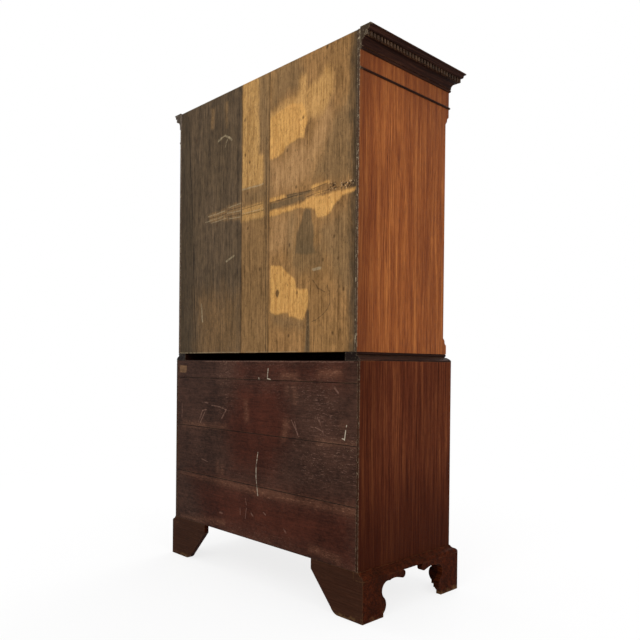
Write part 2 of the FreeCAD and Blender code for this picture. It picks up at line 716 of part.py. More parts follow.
def shaped_bracket(name, mitred):
    """Bracket with a swelled toe, a hollow throat and a cusp. Its corner edge is on Z, and it runs along
    +X with its face on the XZ plane and its thickness behind."""
    corners = [
        ("0", "0"),
        ("bracket_toe", "0"),
        ("bracket_toe", "bracket_toe_height", "bracket_belly_radius", "right"),
        ("bracket_waist", "bracket_waist_height", "bracket_throat_radius", "left"),
        ("bracket_arch", "bracket_arch_height", "bracket_crown_radius", "left"),
        ("bracket_crown", "bracket_crown_height"),
        ("bracket_cusp", "bracket_cusp_height", "bracket_nose_radius", "right"),
        ("bracket_reach", "bracket_nose_height", "bracket_nose_radius", "right"),
        ("bracket_shoulder", "foot_height"),
        ("0", "foot_height"),
    ]
    body = padded_body(name, "XZ_Plane", corners, "bracket_thickness", backwards=True)
    if mitred:
        sketch = new_sketch(body, "XY_Plane", name + "_mitre")
        corners = [("0", "0"), ("bracket_thickness", "bracket_thickness"), ("0", "bracket_thickness")]
        pocket_through(body, draw_loop(sketch, corners))
    return body


def mirrored(name, source):
    """The same piece on the other side of the chest."""
    twin = doc.addObject("Part::Mirroring", name)
    twin.Source = source
    twin.Normal = Vector(1, 0, 0)
    return twin


def with_twins(label, pieces):
    """One node of the pieces and their mirror images."""
    node(label, pieces + [mirrored(piece.Name + "_twin", piece) for piece in pieces])


def feet():
    """Four bracket feet: shaped boards mitred at the front corners, and plain boards at the back."""
    front = place(shaped_bracket("front_bracket", True), "-foot_side", "foot_front", "0")
    front_return = place(shaped_bracket("front_return", True), "foot_side", "foot_front", "0", 90)
    rear_side = place(shaped_bracket("rear_bracket", False), "-foot_side", "back", "0", -90)
    corners = [
        ("bracket_thickness", "0"),
        ("back_bracket_toe", "0", "back_bracket_radius", "right"),
        ("back_bracket_toe + back_bracket_corner", "back_bracket_rise"),
        ("back_bracket_reach", "back_bracket_shoulder"),
        ("back_bracket_reach", "lower_bottom"),
        ("base_outer", "lower_bottom"),
        ("base_outer", "foot_height"),
        ("bracket_thickness", "foot_height"),
    ]
    plain = place(padded_body("back_bracket", "XZ_Plane", corners, "bracket_thickness"), "-foot_side", "back", "0")
    near = "-(foot_side - bracket_thickness)"
    block_x = (near, f"{near} + block_size")
    block_z = ("block_clearance", "foot_height")
    front_y = "foot_front + bracket_thickness"
    rear_y = "back - bracket_thickness"
    front_block = board("front_block", block_x, (front_y, f"{front_y} + block_size"), block_z)
    rear_block = board("rear_block", block_x, (f"{rear_y} - block_size", rear_y), block_z)
    with_twins("front_feet", [front, front_return, front_block])
    with_twins("rear_feet", [rear_side, plain, rear_block])


# ---------------------------------------------------------------- drawers


def drawer_side(name, length, height, tail_length):
    """Drawer side along +Y from the shoulder behind the front, with dovetails at its front end."""
    side_height = f"({height}) - lining_drop"
    body = padded_body(name, "YZ_Plane", rectangle(("0", length), ("0", side_height)), "lining_thickness")
    count = f"floor(({height}) / dovetail_pitch)"
    spacing = f"({side_height}) / {count}"
    low, high = "pin_width / 2", f"{spacing} - pin_width / 2"
    tip = f"-({tail_length})"
    corners = [("0", f"{low} + dovetail_rake"), ("0", f"{high} - dovetail_rake"), (tip, high), (tip, low)]
    tail = pad(body, draw_loop(new_sketch(body, "YZ_Plane", name + "_tail"), corners), "lining_thickness")
    repeat(body, tail, "Z_Axis", spacing, count)
    return body


def cock_bead(name, width, height):
    """Thin strip round the drawer front, as one frame."""
    body = doc.addObject("PartDesign::Body", name)
    sketch = new_sketch(body, "XZ_Plane", name + "_outline")
    draw_loop(sketch, rectangle(("0", width), ("0", height)))
    draw_loop(sketch, rectangle(("bead_width", f"{width} - bead_width"), ("bead_width", f"{height} - bead_width")))
    pad(body, sketch, "bead_depth + bead_proud")
    return body


def handle_post(name, x, y, z):
    """Six-sided post on its rose, with a cross hole for the bail's pin."""
    forward = Vector(0, -1, 0)
    joined = doc.addObject("Part::Fuse", name + "_joined")
    joined.Base = hexagon_bar(name + "_rose", "rose_radius", "rose_thickness", x, y, z, forward)
    joined.Tool = hexagon_bar(name + "_stem", "post_radius", "post_length", x, y, z, forward)
    hole = hexagon_bar(name + "_hole", "hinge_pin_radius + pin_clearance", "4 * post_radius",
                       f"{x} - 2 * post_radius", f"{y} - pivot_offset", z, Vector(1, 0, 0))
    return cut(name, joined, [hole])


def swan_neck():
    """Right half of a bail's line, from its eye down to the grip: a hollow neck, then a round shoulder."""
    sweep = "asin((bail_drop - shoulder_radius) / (neck_radius + shoulder_radius))"
    start = "(post_spread - post_radius - bail_clearance - bail_size / 2)"
    points = [(start, "bail_eye")]
    for bend in range(NECK_BENDS + 1):
        angle = f"({sweep} * {bend} / {NECK_BENDS})"
        points.append((f"{start} + neck_radius * (1 - cos({angle}))", f"-neck_radius * sin({angle})"))
    centre = f"{start} + neck_radius - (neck_radius + shoulder_radius) * cos({sweep})"
    for bend in range(1, SHOULDER_BENDS + 1):
        angle = f"({sweep} - ({sweep} + 90 deg) * {bend} / {SHOULDER_BENDS})"
        points.append((f"{centre} + shoulder_radius * cos({angle})",
                       f"shoulder_radius * (1 + sin({angle})) - bail_drop"))
    return points


def bail(label, x, y, z):
    """Swan-neck bail hanging from its hinge line, a bent bar with a pin at each end. The pins are round
    above and below, where they bear, and flat at the sides."""
    body = doc.addObject("PartDesign::Body", label)
    half = swan_neck()
    start = half[0][0]
    path = new_sketch(body, "XZ_Plane", label + "_path")
    draw_run(path, half + [(f"-({u})", v) for u, v in reversed(half)])
    section = new_sketch(body, "XY_Plane", label + "_section")
    bind(section, "AttachmentOffset.Base.z", "bail_eye")
    half_size = "bail_size / 2"
    draw_loop(section, rectangle((f"{start} - {half_size}", f"{start} + {half_size}"),
                                 (f"-{half_size}", half_size)))
    pipe = body.newObject("PartDesign::AdditivePipe", label + "_pipe")
    pipe.Profile = section
    pipe.Spine = path
    pipe.Transition = "Right corner"
    flat, rise = "hinge_pin_radius / 2", "hinge_pin_radius * sqrt(3) / 2"
    outline = [
        (f"-{flat}", f"-{rise}", "hinge_pin_radius", "right"),
        (flat, f"-{rise}"),
        (flat, rise, "hinge_pin_radius", "right"),
        (f"-{flat}", rise),
    ]
    for side, sign in (("left", "-"), ("right", "")):
        pin = new_sketch(body, "YZ_Plane", f"{label}_pin_{side}")
        bind(pin, "AttachmentOffset.Base.z", sign + start)
        pad(body, draw_loop(pin, outline), f"{half_size} + bail_clearance + post_radius + pin_reach", bool(sign))
    node(label, [place(body, x, y, z)])


def keyhole_shape(name, wall, x, y, z):
    """A keyhole's outline, widened by a wall, as a solid from front to back."""
    key_radius = f"keyhole_radius + {wall}"
    half = f"(keyhole_slot / 2 + {wall})"
    eye = hexagon_bar(name + "_eye", key_radius, f"{y[1]} - ({y[0]})", x, y[0], z, Vector(0, 1, 0))
    slot = board(name + "_slot", (f"{x} - {half}", f"{x} + {half}"), y, (f"{z} - keyhole_length - {wall}", z))
    shape = doc.addObject("Part::Fuse", name)
    shape.Base, shape.Tool = eye, slot
    return shape


def drawer(prefix, x, floor, ceiling, front, handles):
    """One drawer in its opening: front with cock bead, dovetailed box, brasses and bails."""
    left, right = f"({x[0]} + drawer_gap)", f"({x[1]} - drawer_gap)"
    low, high = f"({floor} + slide_gap)", f"({ceiling} - drawer_gap)"
    width, height = f"({right} - {left})", f"({high} - {low})"
    middle = f"({left} + {right}) / 2"
    shoulder = f"({front} + front_thickness)"
    outer_back = "(lining_back - drawer_clearance)"
    inner_back = f"({outer_back} - lining_thickness)"
    bead = place(cock_bead(prefix + "_bead", width, height), left, f"{front} + bead_depth", low)
    side_length = f"({outer_back} - {shoulder})"
    bottom = board(prefix + "_bottom",
                   (f"{left} + lining_thickness - bottom_groove", f"{right} - lining_thickness + bottom_groove"),
                   (f"{shoulder} - bottom_groove", outer_back),
                   (f"{low} + bottom_rise", f"{low} + bottom_rise + bottom_thickness"))
    back_board = board(prefix + "_back",
                       (f"{left} + lining_thickness - back_housing", f"{right} - lining_thickness + back_housing"),
                       (inner_back, outer_back), (f"{low} + bottom_rise + bottom_thickness", f"{high} - lining_drop"))
    sides = []
    for side, position in (("left", left), ("right", f"{right} - lining_thickness")):
        blank = drawer_side(f"{prefix}_{side}_blank", side_length, height, "front_thickness - front_lap")
        place(blank, position, shoulder, low)
        sides.append(cut(f"{prefix}_{side}", blank, [bottom, back_board]))
    key_z = f"({high} - keyhole_drop)"
    lock = board(prefix + "_lock", (f"{middle} - lock_width / 2", f"{middle} + lock_width / 2"),
                 (f"{shoulder} - lock_depth", shoulder),
                 (f"{high} - lock_drop - lock_height", f"{high} - lock_drop"))
    keyhole = keyhole_shape(prefix + "_keyhole", "0", middle,
                            (f"{front} - 2 * escutcheon_proud", f"{shoulder} - lock_depth"), key_z)
    lining_blank = keyhole_shape(prefix + "_lining_blank", "escutcheon_wall", middle,
                                 (f"{front} - escutcheon_proud", f"{front} + escutcheon_depth"), key_z)
    brasses = [lock, cut(prefix + "_escutcheon", lining_blank, [keyhole])]
    post_z = f"(({low} + {high}) / 2 - handle_drop)"
    for number, offset in enumerate(handles, 1):
        for side, sign in (("left", "-"), ("right", "+")):
            post_x = f"({middle} + {offset} {sign} post_spread)"
            brasses.append(handle_post(f"{prefix}_post_{number}_{side}", post_x, front, post_z))
        suffix = "_bail" if len(handles) == 1 else ("_bail_left" if number == 1 else "_bail_right")
        bail(prefix + suffix, f"({middle} + {offset})", f"{front} - pivot_offset", post_z)
    front_blank = board(prefix + "_front_blank", (left, right), (front, shoulder), (low, high))
    tools = [bead] + sides + [bottom, lock, lining_blank, keyhole]
    node(prefix + "_front", [cut(prefix + "_board", front_blank, tools), bead])
    node(prefix + "_box", sides + [back_board, bottom])
    node(prefix + "_brasses", brasses)


def drawers():
    """Two short and three long drawers above, three long drawers below."""
    half_divider = "divider_width / 2"
    top_row = ("upper_floor_1", "upper_ceiling", "upper_front")
    drawer("short_drawer_left", ("-upper_opening", f"-{half_divider}"), *top_row, ["0"])
    drawer("short_drawer_right", (half_divider, "upper_opening"), *top_row, ["0"])
    pair = ["-handle_spread", "handle_spread"]
    for number in (2, 3, 4):
        ceiling = f"(upper_floor_{number - 1} - rail_height)"
        drawer(f"upper_drawer_{number}", ("-upper_opening", "upper_opening"), f"upper_floor_{number}", ceiling,
               "upper_front", pair)
    for number in (1, 2, 3):
        ceiling = f"(lower_floor_{number - 1} - rail_height)" if number > 1 else "lower_ceiling"
        drawer(f"lower_drawer_{number}", ("-lower_inside", "lower_inside"), f"lower_floor_{number}", ceiling,
               "lower_front", pair)


# ---------------------------------------------------------------- the whole chest


def export():
    """Checks every object and writes each sub-part to its own file."""
    faulty = [thing.Name for thing in doc.Objects if {"Invalid", "Error"} & set(thing.State)]
    if faulty:
        raise RuntimeError(f"failed objects: {faulty}")
    os.makedirs("parts", exist_ok=True)
    for label, thing in nodes.items():
        shape = thing.Shape
        if shape.isNull() or not shape.isValid() or not shape.Solids:
            raise RuntimeError(f"{label} has no sound shape")
        shape.exportStep(f"parts/{label}.step")


fill_sheet()
cornice()
dentils()
beads_and_frames()
upper_fittings = upper_case()
lower_fittings = lower_case()
runners, dustboards, stops = (above + below for above, below in zip(upper_fittings, lower_fittings))
node("runners_and_guides", runners)
node("dustboards", dustboards)
node("drawer_stops", stops)
feet()
drawers()
doc.recompute()
export()
print(f"{len(nodes)} sub-parts")
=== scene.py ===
import logging
import math
from dataclasses import dataclass, field
from enum import Enum

import bmesh
import bpy
import numpy as np
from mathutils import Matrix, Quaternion, Vector


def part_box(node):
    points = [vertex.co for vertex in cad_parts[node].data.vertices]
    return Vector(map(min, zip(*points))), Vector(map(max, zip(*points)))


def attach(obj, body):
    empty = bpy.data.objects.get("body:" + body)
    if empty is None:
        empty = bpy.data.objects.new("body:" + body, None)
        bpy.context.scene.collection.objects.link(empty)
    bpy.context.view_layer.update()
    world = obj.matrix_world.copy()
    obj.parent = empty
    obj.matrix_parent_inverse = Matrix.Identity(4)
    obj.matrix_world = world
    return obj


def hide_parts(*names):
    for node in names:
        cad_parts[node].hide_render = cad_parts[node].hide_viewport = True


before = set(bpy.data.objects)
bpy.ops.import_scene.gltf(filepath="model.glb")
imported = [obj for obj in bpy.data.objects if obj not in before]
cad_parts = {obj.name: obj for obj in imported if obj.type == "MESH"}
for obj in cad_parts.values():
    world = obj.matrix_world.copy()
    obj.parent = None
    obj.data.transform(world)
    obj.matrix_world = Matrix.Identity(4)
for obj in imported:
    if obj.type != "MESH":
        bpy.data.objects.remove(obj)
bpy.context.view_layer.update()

LOG = logging.getLogger("chest_on_chest")

Colour = tuple[float, float, float]
Shades = tuple[Colour, Colour]
Place = tuple[float, float, float]
Outline = list[tuple[float, float]]
Line = tuple[int, int, int, int, int]
Socket = bpy.types.NodeSocket
Sockets = bpy.types.bpy_prop_collection
Node = bpy.types.Node
NodeTree = bpy.types.NodeTree
Material = bpy.types.Material
Mesh = bpy.types.Mesh
Piece = bpy.types.Object

ORIGIN: Place = (0.0, 0.0, 0.0)


class Grain(Enum):
    """Which way the grain of a piece runs, as the axes in the order across, across, along."""

    UPRIGHT = "XYZ"
    LEVEL = "ZYX"
    DEEP = "XZY"


class MaterialSlot(Enum):
    """Names of material slots, which the backs keep as a field."""

    UPPER_BACK = "upper_back_pine"
    LOWER_BACK = "lower_back_pine"
    BRASS = "brass"


class Surface(Enum):
    """Surfaces with a finish of their own, each as the endings of the names of the CAD nodes that have it."""

    UPPER_SIDE = ("upper_side_left", "upper_side_right", "corner_posts")
    LOWER_SIDE = ("lower_side_left", "lower_side_right")
    RAIL = ("upper_drawer_rails", "lower_drawer_rails")
    DRAWER_FRONT = ("_front",)
    FRIEZE = ("frieze_board",)
    MOULDING = ("cornice_moulding", "frieze_bead_moulding")
    WAIST = ("waist_moulding",)
    DENTILS = ("dentil_strips",)
    FOOT = ("base_moulding", "front_feet", "rear_feet")
    LINING = ("_box",)
    BRASS = ("_brasses", "_bail", "_bail_left", "_bail_right")
    CARCASS = ("",)

    @classmethod
    def of(cls, node: str) -> "Surface":
        """The first surface that the end of a CAD node's name stands under; the last one takes all the rest."""
        return next(surface for surface in cls if node.endswith(surface.value))


class Handles(Enum):
    """How many handles a drawer has, as their distances from its middle."""

    ONE = (0.0,)
    TWO = (-0.275, 0.275)


def tone(red: float, green: float, blue: float) -> Colour:
    """Turns a colour as it is seen on a screen into the linear one that shaders take.

    Args:
        red: red, 0 to 255.
        green: green, 0 to 255.
        blue: blue, 0 to 255.

    Returns:
        The same colour in linear light.
    """
    shares = (channel / 255 for channel in (red, green, blue))
    return tuple(share / 12.92 if share <= 0.04045 else ((share + 0.055) / 1.055) ** 2.4 for share in shares)


def wood_tones(dark: Colour, middle: Colour, light: Colour) -> dict[str, Colour]:
    """Three screen colours of polished wood, under the names that its finish gives them."""
    return {"dark": tone(*dark), "middle": tone(*middle), "light": tone(*light)}


# ---------------------------------------------------------------- node trees


class Web:
    """A node tree being drawn up, with short calls for the nodes that the finishes share."""

    shared: "SharedNodes"
    shader: Node

    def __init__(self, tree: NodeTree) -> None:
        """Starts on a tree."""
        self.tree = tree

    @classmethod
    def fresh(cls, owner: Material | bpy.types.World) -> "Web":
        """Starts on an empty tree.

        Args:
            owner: the material or world that the tree belongs to.

        Returns:
            The web.
        """
        owner.use_nodes = True
        owner.node_tree.nodes.clear()
        return cls(owner.node_tree)

    def feed(self, socket: Socket, value: object) -> None:
        """Links an input to another node's output, or sets it to a plain value.

        Args:
            socket: the input.
            value: an output, a number, a colour, a vector or a datablock.
        """
        if isinstance(value, bpy.types.NodeSocket):
            self.tree.links.new(value, socket)
        elif socket.type == "RGBA" and len(value) == 3:
            socket.default_value = (*value, 1)
        else:
            socket.default_value = value

    def add(self, kind: str, inputs: dict[str | int, object] | None = None, **settings: object) -> Node:
        """Adds a node.

        Args:
            kind: the node's type.
            inputs: what its inputs take, by name or number.
            settings: the node's own settings.

        Returns:
            The node.
        """
        node = self.tree.nodes.new(kind)
        for name, value in settings.items():
            setattr(node, name, value)
        for name, value in (inputs or {}).items():
            self.feed(node.inputs[name], value)
        return node

    def maths(self, operation: str, *values: object, clamp: bool = False) -> Socket:
        """Adds a sum on numbers and returns its result."""
        return self.add("ShaderNodeMath", dict(enumerate(values)), operation=operation, use_clamp=clamp).outputs[0]

    def times(self, first: object, second: object) -> Socket:
        """Multiplies two numbers."""
        return self.maths("MULTIPLY", first, second)

    def weighed(self, *parts: tuple[Socket, float]) -> Socket:
        """Adds up numbers, each times its weight.

        Args:
            parts: the numbers with their weights.

        Returns:
            The sum.
        """
        total = self.times(*parts[0])
        for value, weight in parts[1:]:
            total = self.maths("MULTIPLY_ADD", value, weight, total)
        return total

    def vectors(self, operation: str, *values: object) -> Socket:
        """Adds a sum on vectors and returns the vector that it gives."""
        return self.add("ShaderNodeVectorMath", dict(enumerate(values)), operation=operation).outputs[0]

    def measured(self, operation: str, *values: object) -> Socket:
        """Adds a sum on vectors and returns the number that it gives."""
        return self.add("ShaderNodeVectorMath", dict(enumerate(values)), operation=operation).outputs["Value"]

    def sized(self, vector: Socket, size: object) -> Socket:
        """Stretches a vector evenly."""
        return self.add("ShaderNodeVectorMath", {0: vector, "Scale": size}, operation="SCALE").outputs[0]

    def scaled(self, vector: Socket, across: float, along: float) -> Socket:
        """Stretches a vector whose third part runs along the grain."""
        return self.vectors("MULTIPLY", vector, (across, across, along))

    def noise(self, vector: Socket, detail: float = 2, roughness: float = 0.5) -> Socket:
        """Adds a noise at scale 1 and returns its value."""
        inputs = {"Vector": vector, "Scale": 1.0, "Detail": detail, "Roughness": roughness}
        return self.add("ShaderNodeTexNoise", inputs).outputs["Fac"]

    def span(self, value: Socket, low: float, high: float, start: float = 0, end: float = 1) -> Socket:
        """Maps low to high onto start to end, smoothly and no further."""
        inputs = {0: value, 1: low, 2: high, 3: start, 4: end}
        return self.add("ShaderNodeMapRange", inputs, interpolation_type="SMOOTHSTEP").outputs[0]

    def patches(self, place: Socket, scales: tuple[float, float], detail: tuple[float, float], low: float, high: float,
                start: float = 0, end: float = 1) -> Socket:
        """Patches of noise, scaled across and along the grain, cut off smoothly below low and above high."""
        return self.span(self.noise(self.scaled(place, *scales), *detail), low, high, start, end)

    def drift(self, place: Socket, scale: float, detail: float, reach: Socket) -> Socket:
        """A slow wander about nought in every direction."""
        loose = self.add("ShaderNodeTexNoise", {"Vector": place, "Scale": scale, "Detail": detail}).outputs["Color"]
        return self.sized(self.vectors("SUBTRACT", loose, (0.5, 0.5, 0.5)), reach)

    def blend(self, share: object, first: object, second: object, mode: str = "MIX") -> Socket:
        """Mixes two colours and returns the mixture."""
        inputs = {0: share, 6: first, 7: second}
        return self.add("ShaderNodeMix", inputs, data_type="RGBA", blend_type=mode).outputs[2]

    def over(self, colour: object, mask: Socket, strength: float, shade: object, mode: str = "MIX") -> Socket:
        """Lays a shade over a colour where a mask says, up to a strength."""
        return self.blend(self.times(mask, strength), colour, shade, mode)

    def ramp(self, share: Socket, *stops: tuple[float, Colour]) -> Socket:
        """Turns a value into a colour.

        Args:
            share: the value, 0 to 1.
            stops: places between 0 and 1, each with its colour.

        Returns:
            The colour.
        """
        node = self.add("ShaderNodeValToRGB", {0: share})
        elements = node.color_ramp.elements
        while len(elements) < len(stops):
            elements.new(1.0)
        for element, (place, colour) in zip(elements, stops):
            element.position = place
            element.color = (*colour, 1)
        return node.outputs[0]

    def group(self, tree: NodeTree, **inputs: object) -> Sockets:
        """Places a node group.

        Args:
            tree: the group.
            inputs: what its inputs take, with underscores for the spaces in their names.

        Returns:
            The group's outputs.
        """
        node = self.add("ShaderNodeGroup", node_tree=tree)
        for name, value in inputs.items():
            self.feed(node.inputs[name.replace("_", " ")], value)
        return node.outputs

    def split(self, vector: Socket) -> list[Socket]:
        """Takes a vector apart into its three numbers."""
        return list(self.add("ShaderNodeSeparateXYZ", {0: vector}).outputs)

    def joined(self, *parts: object) -> Socket:
        """Makes a vector of three numbers."""
        return self.add("ShaderNodeCombineXYZ", dict(enumerate(parts))).outputs[0]

    def axes(self) -> list[Socket]:
        """The point on the piece in metres, as X, Y and Z."""
        return self.split(self.add("ShaderNodeTexCoord").outputs["Object"])

    def place(self, grain: Grain) -> Socket:
        """The point on the piece in metres, with its third part along the grain."""
        parts = dict(zip("XYZ", self.axes()))
        return self.joined(*(parts[axis] for axis in grain.value))

    def facing(self, axis: int) -> Socket:
        """How far the surface faces along an axis."""
        return self.split(self.add("ShaderNodeNewGeometry").outputs["Normal"])[axis]

    def attribute(self, name: str) -> Socket:
        """A number kept on the piece's own mesh."""
        return self.add("ShaderNodeAttribute", attribute_name=name, attribute_type="GEOMETRY").outputs["Fac"]

    def coat(self, colour: Socket, roughness: object, height: Socket, depth: float, gloss: float = 0.5) -> None:
        """Gives the shader its colour, its sheen and a bumpy surface.

        Args:
            colour: its colour.
            roughness: its roughness, an output or a number.
            height: the pattern of the bumps, 0 to 1.
            depth: how deep the bumps are, in metres.
            gloss: how strongly it shines.
        """
        bump = self.add("ShaderNodeBump", {"Height": height, "Distance": depth, "Strength": 0.6}).outputs[0]
        parts = {"Base Color": colour, "Roughness": roughness, "Specular IOR Level": gloss, "Normal": bump}
        for name, value in parts.items():
            self.feed(self.shader.inputs[name], value)


def new_group(name: str, inputs: dict[str, object], outputs: list[str]) -> tuple[Web, Sockets, Sockets]:
    """Starts a shader node group with named sockets.

    Args:
        name: what the group is called.
        inputs: its inputs and their usual values, numbers or vectors.
        outputs: its outputs, all numbers.

    Returns:
        The group's web, what it is given, and what it makes.
    """
    tree = bpy.data.node_groups.new(name, "ShaderNodeTree")
    kinds = {float: "NodeSocketFloat", tuple: "NodeSocketVector"}
    for label, value in inputs.items():
        socket = tree.interface.new_socket(name=label, in_out="INPUT", socket_type=kinds[type(value)])
        socket.default_value = value
    for label in outputs:
        tree.interface.new_socket(name=label, in_out="OUTPUT", socket_type="NodeSocketFloat")
    web = Web(tree)
    return web, web.add("NodeGroupInput").outputs, web.add("NodeGroupOutput").inputs


def wood_grain() -> NodeTree:
    """Colour bands, fine streaks and pores that run along the third part of Place.

    Returns:
        The node group.
    """
    inputs = {"Place": ORIGIN, "Band Width": 0.02, "Length": 30.0, "Waver": 0.01}
    web, given, made = new_group("wood grain", inputs, ["Bands", "Streaks", "Pores"])
    drift = web.drift(web.scaled(given["Place"], 7, 1.6), 1.0, 2.0, given["Waver"])
    bent = web.vectors("ADD", given["Place"], drift)
    across = web.maths("DIVIDE", 1.0, given["Band Width"])
    along = web.maths("DIVIDE", across, given["Length"])
    banded = web.vectors("MULTIPLY", bent, web.joined(across, across, along))
    web.feed(made["Bands"], web.span(web.noise(banded, 3, 0.55), 0.32, 0.68))
    web.feed(made["Streaks"], web.patches(banded, (6, 3.5), (4, 0.6), 0.3, 0.7))
    web.feed(made["Pores"], web.patches(bent, (950, 42), (1, 0.5), 0.60, 0.72))
    return web.tree


def edge_wear() -> NodeTree:
    """How worn a sharp edge is, in broken stretches.

    Returns:
        The node group.
    """
    inputs = {"Place": ORIGIN, "Radius": 0.003, "Break Up": 30.0}
    web, given, made = new_group("edge wear", inputs, ["Worn"])
    soft = web.add("ShaderNodeBevel", {"Radius": given["Radius"]}, samples=4).outputs[0]
    plain = web.add("ShaderNodeNewGeometry").outputs["Normal"]
    bend = web.span(web.measured("DOT_PRODUCT", soft, plain), 0.995, 0.86)
    broken = web.span(web.noise(web.sized(given["Place"], given["Break Up"]), 4, 0.65), 0.38, 0.62)
    web.feed(made["Worn"], web.times(bend, broken))
    return web.tree


def settled_dust() -> NodeTree:
    """Dust on faces that look up, thicker in patches.

    Returns:
        The node group.
    """
    web, given, made = new_group("settled dust", {"Place": ORIGIN, "Amount": 0.5}, ["Dust"])
    patchy = web.patches(given["Place"], (14, 14), (5, 0.6), 0.2, 0.75, 0.35, 1)
    level = web.times(web.span(web.facing(2), 0.55, 0.98), patchy)
    web.feed(made["Dust"], web.times(level, given["Amount"]))
    return web.tree


def scratch_line() -> NodeTree:
    """One broken line across a back, from a start to an end, in metres across and up.

    Returns:
        The node group.
    """
    inputs = {"Place": ORIGIN, "Start": ORIGIN, "End": (0.0, 0.0, 1.0), "Width": 0.002, "Wander": 0.006,
              "Break Up": 1.0}
    web, given, made = new_group("scratch line", inputs, ["Mark"])
    drifted = web.vectors("ADD", given["Place"], web.drift(given["Place"], 18.0, 3.0, given["Wander"]))
    flat = web.vectors("MULTIPLY", drifted, (1, 0, 1))
    reach = web.vectors("SUBTRACT", given["End"], given["Start"])
    away = web.vectors("SUBTRACT", flat, given["Start"])
    share = web.maths("DIVIDE", *(web.measured("DOT_PRODUCT", other, reach) for other in (away, reach)), clamp=True)
    gap = web.measured("DISTANCE", away, web.sized(reach, share))
    line = web.span(web.maths("DIVIDE", gap, given["Width"]), 1.0, 0.45)
    broken = web.patches(given["Place"], (90, 90), (3, 0.6), 0.34, 0.52)
    gaps = web.times(given["Break Up"], web.maths("SUBTRACT", 1.0, broken))
    web.feed(made["Mark"], web.times(line, web.maths("SUBTRACT", 1.0, gaps)))
    return web.tree


@dataclass
class SharedNodes:
    """The node groups that more than one finish uses."""

    grain: NodeTree = field(default_factory=wood_grain)
    wear: NodeTree = field(default_factory=edge_wear)
    dust: NodeTree = field(default_factory=settled_dust)
    scratch: NodeTree = field(default_factory=scratch_line)


# ---------------------------------------------------------------- finishes


@dataclass(frozen=True)
class Finish:
    """What every finish has: a name, the way of its grain, and how it is laid on."""

    name: str
    grain: Grain

    def material(self, shared: SharedNodes) -> Material:
        """Builds the material.

        Args:
            shared: the node groups that finishes share.

        Returns:
            The material.
        """
        material = bpy.data.materials.new(self.name)
        web = Web.fresh(material)
        web.shared = shared
        web.shader = web.add("ShaderNodeBsdfPrincipled")
        web.add("ShaderNodeOutputMaterial", {"Surface": web.shader.outputs[0]})
        self.lay(web)
        return material

    def lay(self, web: Web) -> None:
        """Draws up the finish on a shader."""
        raise NotImplementedError


@dataclass(frozen=True)
class PaintedShade:
    """A painted shade: a slow darkening along an axis, where it starts, where it is full, in metres, and its strength.
    """

    axis: int
    start: float
    full: float
    strength: float


